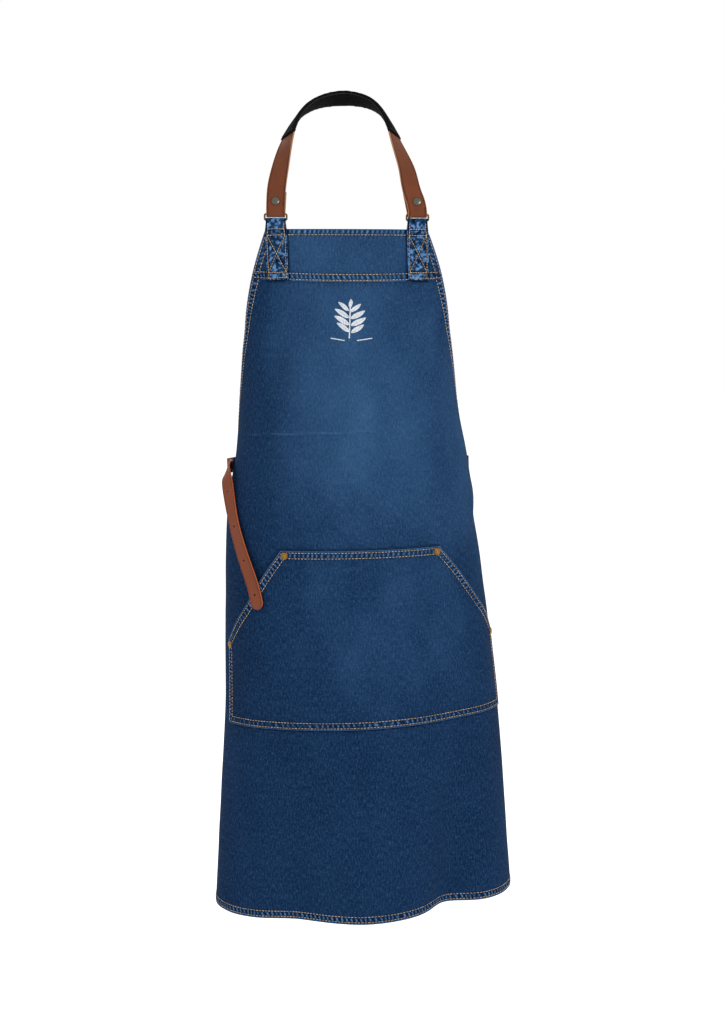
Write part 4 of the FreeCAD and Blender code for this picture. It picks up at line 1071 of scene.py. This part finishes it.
outs = [front_strap, front_strap, *NECK_OUTS, front_strap, front_strap]
arch = spline(route, 3)
arch_outs = blended(arch, route, outs)
FLAP_SHIFTS = {"left": 2.2, "right": -5.6}
for side, shift in FLAP_SHIFTS.items():
    ends[side][0][:, 0] += shift * np.clip(np.linspace(1.0, -2.4, len(ends[side][0])), 0, 1)
neck_points = np.concatenate([ends["left"][0], arch[1:-1], ends["right"][0][::-1]])
neck_outs = np.concatenate([ends["left"][1], arch_outs[1:-1], ends["right"][1][::-1]])
neck_band = Band(neck_points, neck_outs, 1.6)
strap("neck_strap_leather", neck_band, NECK_WIDTH, NECK_LEATHER_THICK, "neck_strap", "neck_loop",
      NECK_LEATHER)

WAIST_FOLD = WIRE + FIT + WAIST_LEATHER_THICK / 2
LEFT_ROUTE = [(-156, -46, -502), (-160.5, -71, -504), (-161, -88, -513), (-158.5, -100, -531),
              (-152, -119, -568), (-137, -145.5, -620), (-123.5, -165, -661), (-119.5, -170.5, -681)]
LEFT_OUTS = [(-.97, .05, .15), (-.86, -.48, .15), (-.66, -.74, .12), (-.64, -.76, .05), (-.76, -.64, 0),
             (-.66, -.75, 0), (-.60, -.80, 0), (-.60, -.80, 0)]


def ring_pitch(side):
    """Direction from a waist ring's inner bar to its outer bar."""
    pitch = outer_bar[side] - inner_bar[side]
    return pitch / np.linalg.norm(pitch)


WAIST_RISE = 30
LEFT_THROW = math.radians(3)
left_outward = ring_pitch("left")
left_back = np.array([left_outward[1], -left_outward[0], 0])
left_away = left_back * -math.cos(LEFT_THROW) - left_outward * math.sin(LEFT_THROW)
left_front = left_outward * math.cos(LEFT_THROW) - left_back * math.sin(LEFT_THROW)
points, point_outs = hairpin(outer_bar["left"], left_away, left_front, WAIST_FOLD, FLAP, WAIST_RISE)
route = [points[-1], *LEFT_ROUTE]
run = spline(route, 3)
run_outs = blended(run, route, [left_front, *LEFT_OUTS])
left_band = Band(np.concatenate([points, run[1:]]), np.concatenate([point_outs, run_outs[1:]]), 1.0)


def round_tip(v):
    """Width of the left strap: full, then half round at its tip."""
    radius = WAIST_WIDTH / 2
    left = np.maximum(left_band.length - v, 0.02)
    tip = 2 * np.sqrt(np.maximum(radius ** 2 - (radius - left) ** 2, 0))
    return np.where(left < radius, tip, WAIST_WIDTH)


left_strap = strap("waist_strap_left_leather", left_band, WAIST_WIDTH, WAIST_LEATHER_THICK,
                   "waist_strap_left", "tie_left", WAIST_LEATHER, taper=round_tip)

HOLE_FROM_TIP, HOLE_PITCH, HOLE_RADIUS, HOLES = 20.0, 50.0, 1.5, 4
punches = bmesh.new()
for k in range(HOLES):
    at = left_band.length - HOLE_FROM_TIP - HOLE_PITCH * k
    low, high = (left_band.surface(0.0, at, lift).ravel() for lift in (-3.0, 3.0))
    way = Vector(high - low)
    turned = way.to_track_quat("Z", "Y").to_matrix().to_4x4()
    turned.translation = Vector((low + high) / 2)
    bmesh.ops.create_cone(punches, cap_ends=True, segments=24, radius1=HOLE_RADIUS * 0.001,
                          radius2=HOLE_RADIUS * 0.001, depth=way.length, matrix=turned)
punch_mesh = bpy.data.meshes.new("punches")
punches.to_mesh(punch_mesh)
punches.free()
punch = bpy.data.objects.new("punches", punch_mesh)
bpy.context.scene.collection.objects.link(punch)
cut = left_strap.modifiers.new("punched", "BOOLEAN")
cut.object = punch
cut.solver = "EXACT"
graph = bpy.context.evaluated_depsgraph_get()
pierced = bpy.data.meshes.new_from_object(left_strap.evaluated_get(graph))
left_strap.modifiers.clear()
left_strap.data = pierced
bpy.data.objects.remove(punch)

inwards = ring_pitch("right")
right_front = np.array([inwards[1], -inwards[0], 0])
start = outer_bar["right"]
right_route = [start + inwards * r + UP * z
               for r, z in ((52, -3), (66, -16), (70, -42), (69, -110), (67, -180), (67, -240))]
points, point_outs = hairpin(start, inwards, right_front, WAIST_FOLD, FLAP, WAIST_RISE)
route = [points[-1], *right_route]
tilt = [right_front, right_front + UP * 0.9, inwards + UP * 0.8, inwards, inwards, inwards, inwards]
run = spline(route, 3)
run_outs = blended(run, route, [t / np.linalg.norm(t) for t in tilt])
end_points, end_outs = hairpin(heel_bar, UP, inwards, WAIST_FOLD, 40, 8)
right_band = Band(np.concatenate([points, run[1:], end_points[::-1]]),
                  np.concatenate([point_outs, run_outs[1:], end_outs[::-1]]), 1.3)
strap("waist_strap_right_leather", right_band, WAIST_WIDTH, WAIST_LEATHER_THICK, "waist_strap_right",
      "tie_right", WAIST_LEATHER)


# ---------------------------------------------------------------- metal pieces
def lathe(name, profile, places, body, slot, material, nodes, segments=40):
    """Turned piece or pieces: profile of (radius, height) in mm, its axis along each place's direction."""
    angles = np.linspace(0, 2 * math.pi, segments, endpoint=False)
    points, faces, crown = [], [], []
    low, high = min(h for _, h in profile), max(h for _, h in profile)
    for origin, direction in places:
        direction = np.asarray(direction, float) / np.linalg.norm(direction)
        side = np.cross(direction, UP if abs(direction[2]) < 0.8 else np.array([1.0, 0, 0]))
        side /= np.linalg.norm(side)
        other = np.cross(direction, side)
        base = len(points)
        for radius, height in profile:
            for angle in angles:
                radial = side * math.cos(angle) + other * math.sin(angle)
                points.append((origin + direction * height + radial * radius) * 0.001)
                # Each point's height up the profile, kept for the metal's painted highlight at the crown and
                # painted shade at the rim.
                crown.append((height - low) / (high - low))
        for i in range(len(profile) - 1):
            for j in range(segments):
                k = (j + 1) % segments
                faces.append([base + i * segments + j, base + i * segments + k,
                              base + (i + 1) * segments + k, base + (i + 1) * segments + j])
        faces.append([base + j for j in range(segments)][::-1])
        faces.append([base + (len(profile) - 1) * segments + j for j in range(segments)])
    mesh = make_mesh(name, points, faces, None, wear=np.array(crown))
    face_outwards(mesh)
    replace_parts(link(name, mesh, body, slot, [material]), *nodes)


def dome(radius, height):
    """Snap cap: rolled rim and a low dome."""
    rim = 1.1
    profile = [(radius * 0.86, 0), (radius * 0.97, 0.15), (radius, 0.5), (radius * 0.985, 0.85),
               (radius * 0.93, rim)]
    for t in np.linspace(0.25, 1, 9):
        profile.append((radius * 0.93 * math.cos(t * math.pi / 2) ** 0.9 + 0.01,
                        rim + (height - rim) * math.sin(t * math.pi / 2)))
    return profile


def snap_rear(depth):
    """Flat eyelet of a snap, at the back of two leather layers `depth` below its face."""
    profile = [(2.0, 1.2), (5.5, -0.05), (5.4, -0.6), (4.6, -1.1), (3.2, -1.2), (2.6, -0.7), (0.2, -0.6)]
    return [(radius, height - depth) for radius, height in profile]


SNAP_RISE, SNAP_RADIUS, SNAP_HEIGHT = 17.0, 6.0, 2.6
neck_face = NECK_FOLD + NECK_LEATHER_THICK / 2
neck_faces = [(bar + up_strap * SNAP_RISE + front_strap * neck_face, front_strap)
              for bar in high_bar.values()]
lathe("neck_snap_domes", dome(SNAP_RADIUS, SNAP_HEIGHT), neck_faces, "neck_loop", "gunmetal", GUNMETAL,
      ["neck_snap_caps"])
lathe("neck_snap_rear", snap_rear(2 * (WIRE + FIT + NECK_LEATHER_THICK)), neck_faces, "neck_loop", "gunmetal",
      GUNMETAL, ["neck_snap_posts"])
waist_face = WAIST_FOLD + WAIST_LEATHER_THICK / 2
waist_depth = 2 * (WIRE + FIT + WAIST_LEATHER_THICK)
for side, bar, away, out in (("left", outer_bar["left"], left_away, left_front),
                             ("right", start, inwards, right_front)):
    faces = [(bar + away * SNAP_RISE + out * waist_face, out)]
    lathe(f"waist_{side}_snap_dome", dome(SNAP_RADIUS, SNAP_HEIGHT), faces, f"tie_{side}", "gunmetal",
          GUNMETAL, [f"waist_{side}_snap_cap"])
    lathe(f"waist_{side}_snap_rear", snap_rear(waist_depth), faces, f"tie_{side}", "gunmetal", GUNMETAL,
          [f"waist_{side}_snap_post"])
RIVET_RISE = 26
rivet_face = heel_bar + UP * RIVET_RISE + inwards * waist_face
lathe("buckle_strap_rivet", [(0.2, 1.2), (2.0, 1.1), (3.1, 0.7), (3.5, 0.1), (1.5, 0.0), (1.5, -waist_depth),
                             (3.5, -waist_depth - 0.1), (3.0, -waist_depth - 0.8), (0.2, -waist_depth - 1.0)],
      [(rivet_face, inwards)], "tie_right", "gunmetal", GUNMETAL, ["buckle_rivet"])

RIVET_INSET, RIVET_DROP = 5.0, 6.5
rivet_flats = [(sign * (half - RIVET_INSET), drop + RIVET_DROP) for sign in (-1, 1)
               for half, drop in ((TOP_HALF, POCKET_TOP), (HAND_HALF, POCKET_HAND))]
a, d = np.array(rivet_flats).T
seat = cloth(a, d, pocket_top(a, d) + 0.3) * 1000
seat_out = cloth(a, d, pocket_top(a, d) + 1.3) * 1000 - seat
rivet_profile = [(4.2, -0.6), (5.0, -0.1), (5.0, 0.5), (4.75, 0.95), (4.2, 1.15), (3.6, 1.0), (3.1, 0.75),
                 (2.6, 0.75), (2.2, 1.1), (1.7, 1.6), (1.0, 1.85), (0.1, 1.9)]
lathe("pocket_rivets", rivet_profile, list(zip(seat, seat_out)), "apron", "brass", BRASS,
      ["pocket_rivet_caps"])
under = cloth(a, d, -THICK - 0.2) * 1000
lathe("pocket_rivet_rear", [(4.1, 0.2), (4.0, -0.4), (3.6, -1.0), (2.0, -1.2), (0.1, -1.3)],
      list(zip(under, seat_out)), "apron", "brass", BRASS, ["pocket_rivet_backs"])


def sweep(name, centre, wide, tall, half_wide, half_tall, corner, section, body, slot, material, node):
    """Closed ring: a section of (outwards, sideways) carried round a rounded rectangle."""
    side = np.cross(wide, tall)
    path, outs = [], []
    for cx, cy, first in ((1, 1, 0), (-1, 1, 90), (-1, -1, 180), (1, -1, 270)):
        for angle in np.radians(np.linspace(first, first + 90, 9)):
            out = wide * math.cos(angle) + tall * math.sin(angle)
            turn_at = centre + wide * cx * (half_wide - corner) + tall * cy * (half_tall - corner)
            path.append(turn_at + out * corner)
            outs.append(out)
    path, outs = np.array(path), np.array(outs)
    rows = np.stack([(path + outs * o + side * s) * 0.001 for o, s in section], 1)
    gone = np.arange(len(path)) * 2.0
    uv = np.stack([flat_measure(gone, np.full_like(gone, k * 1.5)) for k in range(len(section))], 1)
    raw_edge = np.array([1.0 if abs(s) > 3.5 else 0.0 for _, s in section])
    piece = strip(name, rows, uv, body, slot, [material], loop=True, wear=np.tile(raw_edge, (len(path), 1)))
    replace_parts(piece, node)


WIRE_SHOWN = 1.2
NECK_RING, WAIST_RING, BUCKLE = (14.4, 3.75, 1.6), (14.0, 5.25, 1.6), (13.2, 8.5, 2.6)
KEEPER_RISE, KEEPER_ROOM, KEEPER_CORNER = 36, 1.2, 1.6
ring_angles = np.linspace(0, 2 * math.pi, 16, endpoint=False)
wire = [(WIRE_SHOWN * math.cos(t), WIRE_SHOWN * math.sin(t)) for t in ring_angles]
for side in ("left", "right"):
    neck_middle, waist_middle = (low_bar[side] + high_bar[side]) / 2, (inner_bar[side] + outer_bar[side]) / 2
    sweep(f"neck_ring_{side}_wire", neck_middle, np.array([1.0, 0, 0]), UP, *NECK_RING, wire,
          f"ring_neck_{side}", "steel", STEEL, f"neck_ring_{side}")
    sweep(f"waist_ring_{side}_wire", waist_middle, UP, ring_pitch(side), *WAIST_RING, wire,
          f"ring_waist_{side}", "steel", STEEL, f"waist_ring_{side}")
sweep("buckle_frame_wire", heel_bar - UP * BUCKLE[1], bar_direction, UP, *BUCKLE, wire, "buckle", "gunmetal",
      GUNMETAL, "buckle_frame")
keeper_section = [(1.0, -4.1), (0.6, -4.5), (-0.3, -4.5), (-0.7, -4.1), (-0.7, 4.1), (-0.3, 4.5), (0.6, 4.5),
                  (1.0, 4.1)]
sweep("buckle_keeper_loop", heel_bar + UP * KEEPER_RISE, bar_direction, inwards,
      WAIST_WIDTH / 2 + KEEPER_ROOM, waist_face + KEEPER_ROOM, KEEPER_CORNER, keeper_section, "tie_right",
      "strap_leather", WAIST_LEATHER, "buckle_keeper")

prong_path = []
for angle in np.radians(np.linspace(-250, 0, 22)):
    radial = inwards * math.cos(angle) + UP * math.sin(angle)
    prong_path.append(heel_bar + radial * 2.75)
for drop in np.linspace(2, 18.2, 10):
    bow = 2.85 + 0.35 * math.sin(drop / 18 * math.pi) - 0.02 * drop
    prong_path.append(heel_bar + inwards * bow - UP * drop)
prong_path = np.array(prong_path)
along = np.gradient(prong_path, axis=0)
along /= np.linalg.norm(along, axis=1)[:, None]
square = np.cross(along, bar_direction)
shrink = np.ones((len(prong_path), 1))
shrink[-3:, 0] = (0.95, 0.8, 0.45)
prong_section = [square * 0.85 * math.cos(t) + bar_direction * 1.35 * math.sin(t)
                 for t in np.linspace(0, 2 * math.pi, 12, endpoint=False)]
prong_rows = np.stack([(prong_path + spoke * shrink) * 0.001 for spoke in prong_section], 1)
prong_uv = np.zeros((*prong_rows.shape[:2], 2))
prong = strip("buckle_prong_wire", prong_rows, prong_uv, "prong", "gunmetal", [GUNMETAL])
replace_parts(prong, "buckle_prong")

# Small pieces between the leather layers stay as the frame has them, in plated metal.
for name in ("neck_snap_sockets", "neck_snap_studs", "waist_left_snap_socket", "waist_left_snap_stud",
             "waist_right_snap_socket", "waist_right_snap_stud"):
    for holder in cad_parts[name].material_slots:
        holder.link = "OBJECT"
        holder.material = GUNMETAL

# ---------------------------------------------------------------- neck pad
pad_rows = [i for i, p in enumerate(neck_band.line) if p[2] > -57 and p[1] > -73]
pad_at = neck_band.at[pad_rows[0]:pad_rows[-1] + 1:2]
PAD_WIDTH, PAD_THICK, PAD_CAP, PUFF_FRAMES = 34.0, 8.0, 2.2, 20


def pad_skin(width, thick, along, sides=28):
    """Rounded sleeve section round the strap along the neck line."""
    columns = []
    for i in range(sides):
        t = 2 * math.pi * (i + 0.5) / sides
        u = math.copysign(abs(math.cos(t)) ** 0.5, math.cos(t)) * width / 2
        n = math.copysign(abs(math.sin(t)) ** 0.8, math.sin(t)) * thick / 2
        columns.append(neck_band.surface(np.full_like(along, u), along, np.full_like(along, n)))
    return np.stack(columns, 1)


rows = pad_skin(PAD_WIDTH - 3.0, PAD_THICK - 2.2, pad_at)
n, m = rows.shape[:2]
index = np.arange(n * m).reshape(n, m)
faces = [[int(index[i, j]), int(index[i, (j + 1) % m]), int(index[i + 1, (j + 1) % m]), int(index[i + 1, j])]
         for i in range(n - 1) for j in range(m)]
faces += [[int(v) for v in index[0]][::-1], [int(v) for v in index[-1]]]
pad_mesh = make_mesh("neck_pad_sleeve", rows.reshape(-1, 3), faces)
pad = link("neck_pad_sleeve", pad_mesh, "neck_loop", "pad_fabric", [KNIT])


def apply_all(piece):
    """The piece's mesh as its modifiers leave it."""
    graph = bpy.context.evaluated_depsgraph_get()
    made = bpy.data.meshes.new_from_object(piece.evaluated_get(graph))
    piece.modifiers.clear()
    piece.data = made


def swell(piece):
    """Blows the sleeve up a little with cloth pressure, and keeps each point near where it was."""
    remesh = piece.modifiers.new("even", "REMESH")
    remesh.mode = "VOXEL"
    remesh.voxel_size = 0.0024
    apply_all(piece)
    rest = np.array([v.co for v in piece.data.vertices])
    puff = piece.modifiers.new("puff", "CLOTH")
    puff.settings.use_pressure = True
    puff.settings.uniform_pressure_force = 4.0
    puff.settings.effector_weights.gravity = 0.0
    puff.settings.quality = 5
    puff.settings.tension_stiffness = 12
    puff.settings.compression_stiffness = 12
    puff.settings.bending_stiffness = 0.4
    puff.point_cache.frame_start, puff.point_cache.frame_end = 1, PUFF_FRAMES
    for number in range(1, PUFF_FRAMES + 1):
        bpy.context.scene.frame_set(number)
    apply_all(piece)
    bpy.context.scene.frame_set(1)
    blown = np.array([v.co for v in piece.data.vertices])
    move = blown - rest
    far = np.linalg.norm(move, axis=1)
    far[far < 1e-9] = 1e-9
    limit = PAD_CAP * 0.001
    rest = rest + move * (limit * np.tanh(far / limit) / far)[:, None]
    piece.data.vertices.foreach_set("co", rest.ravel())
    round_off = piece.modifiers.new("round", "SUBSURF")
    round_off.levels = round_off.render_levels = 1
    apply_all(piece)
    piece.data.shade_smooth()
    if not piece.data.materials:
        piece.data.materials.append(KNIT)


swell(pad)
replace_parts(pad, "neck_pad")
first, last = float(pad_at[0]), float(pad_at[-1])
pad_tree = BVHTree.FromPolygons([v.co.copy() for v in pad.data.vertices],
                                [list(face.vertices) for face in pad.data.polygons])
PAD_REACH = 12.0


def pad_side(face):
    """The band seen from one side of the pad, and how high the pad's skin stands over it there."""
    def surface(u, v, n):
        return neck_band.surface(u, v, face * n)

    def skin(u, v):
        heights = []
        for place in zip(np.atleast_1d(u), np.atleast_1d(v)):
            inner, outer = (Vector(surface(*place, reach).ravel()) for reach in (0.0, PAD_REACH))
            hit = pad_tree.ray_cast(outer, (inner - outer).normalized(), PAD_REACH * 0.001)
            heights.append(PAD_REACH - hit[3] * 1000 if hit[0] else 0.0)
        return np.array(heights)

    return surface, skin


pad_runs = []
for face in (1, -1):
    surface, skin = pad_side(face)
    for at in (first + 4.5, last - 4.5):
        pad_runs.append((surface, inset_path([(-12.5, at), (12.5, at)], 20), skin))
surface, skin = pad_side(-1)
pad_runs.append((surface, inset_path([(12.6, first + 4), (12.6, last - 4)], 200), skin))
sew("neck_pad_stitching", pad_runs, "neck_loop", BLACK_THREAD, slot="pad_fabric", length=3.0)

# ---------------------------------------------------------------- embroidered sprig
SPRIG_DROP, STEM = 118.0, 1.2


def satin(name, shapes, material):
    """Leaf and stem shapes filled with slanting satin stitches. A shape is (start, end, half width)."""
    runs = []
    for (x0, y0), (x1, y1), fat in shapes:
        length = math.hypot(x1 - x0, y1 - y0)
        tx, ty = (x1 - x0) / length, (y1 - y0) / length
        count = int(length / 0.75)
        for k in range(count):
            f = (k + 0.5) / count
            stem = fat <= STEM
            half = fat if stem else fat * math.sin(math.pi * f ** 0.8) ** 0.8
            if half < 0.35:
                continue
            cx, cy = x0 + tx * length * f, y0 + ty * length * f
            sx, sy = -ty * 0.86 + tx * 0.5, tx * 0.86 + ty * 0.5
            for one, two in ([(-half, half)] if stem else [(-half, -0.05 * half), (0.05 * half, half)]):
                runs.append(((cx + sx * one, cy + sy * one), (cx + sx * two, cy + sy * two)))
    points, faces, tint = [], [], []
    for (a0, d0), (a1, d1) in runs:
        base = len(points)
        steps = np.linspace(0, 1, 5)
        a = a0 + (a1 - a0) * steps
        d = SPRIG_DROP + d0 + (d1 - d0) * steps
        length = max(math.hypot(a1 - a0, d1 - d0), 0.1)
        nx, ny = -(d1 - d0) / length * 0.42, (a1 - a0) / length * 0.42
        crown = np.sin(math.pi * np.clip(steps, 0.04, 0.96)) ** 0.5
        for across_share, height in ((-1, 0.02), (0, 0.42), (1, 0.02)):
            lift = 0.05 + (height + 0.25) * crown
            points.extend(cloth(a + nx * across_share, d + ny * across_share, lift))
        for row in (base, base + 5):
            faces.extend([row + c, row + c + 1, row + c + 6, row + c + 5] for c in range(4))
        tint.extend([rng.uniform(0.3, 1.0)] * 15)
    mesh = make_mesh(name, points, faces, None, wear=np.array(tint))
    return link(name, mesh, "apron", "denim", [material])


sprig = [((-2, 24), (1, -20), 0.9)]
for height, reach, fat in ((15, 17, 3.6), (6, 20, 4.0), (-3, 19, 3.8), (-12, 14, 3.2)):
    for way in (-1, 1):
        base_y = height + (2 if way > 0 else 0)
        sprig.append(((way * 1.2, base_y), (way * (reach + 1), base_y - 11), fat))
sprig.append(((1, -16), (2, -27), 3.0))
sprig += [((-26, 24), (-8, 27), 0.7), ((8, 27), (28, 24), 0.7)]
embroidery = satin("bib_embroidery", sprig, WHITE_THREAD)

# ---------------------------------------------------------------- soft facts
def sheet_area(half_at, drops):
    """Flat area in square metres between the two edges of a piece."""
    return float(np.trapz(2 * half_at(drops), drops)) * 1e-6


body_area = sheet_area(half_cut, body_drops)
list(hems)
yoke_area = sheet_area(half_cut, np.linspace(1, YOKE_LENGTH, 30))
pocket_area = sheet_area(pocket_half, pocket_drops)
for piece in tabs[:2]:
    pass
for piece in tabs[2:]:
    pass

# ---------------------------------------------------------------- floor
floor_shader = Shader("floor_paint")
speck = floor_shader.node("ShaderNodeTexNoise", Scale=60.0, Detail=2.0).outputs["Fac"]
floor_colour = floor_shader.mix(floor_shader.maths("MULTIPLY", speck, 0.03), (0.93, 0.93, 0.93, 1),
                                (0.90, 0.90, 0.90, 1))
floor_paint = floor_shader.finish(floor_colour, 0.9, Emission_Color=(1, 1, 1, 1), Emission_Strength=0.25,
                                  Specular_IOR_Level=0.0)
FLOOR_HALF, FLOOR_LEVEL = 30, -1.5
floor_corners = [(x * FLOOR_HALF, y * FLOOR_HALF, FLOOR_LEVEL)
                 for x, y in ((-1, -1), (1, -1), (1, 1), (-1, 1))]
floor_mesh = make_mesh("floor", floor_corners, [[0, 1, 2, 3]])
floor_mesh.materials.append(floor_paint)
floor = bpy.data.objects.new("floor", floor_mesh)
bpy.context.scene.collection.objects.link(floor)
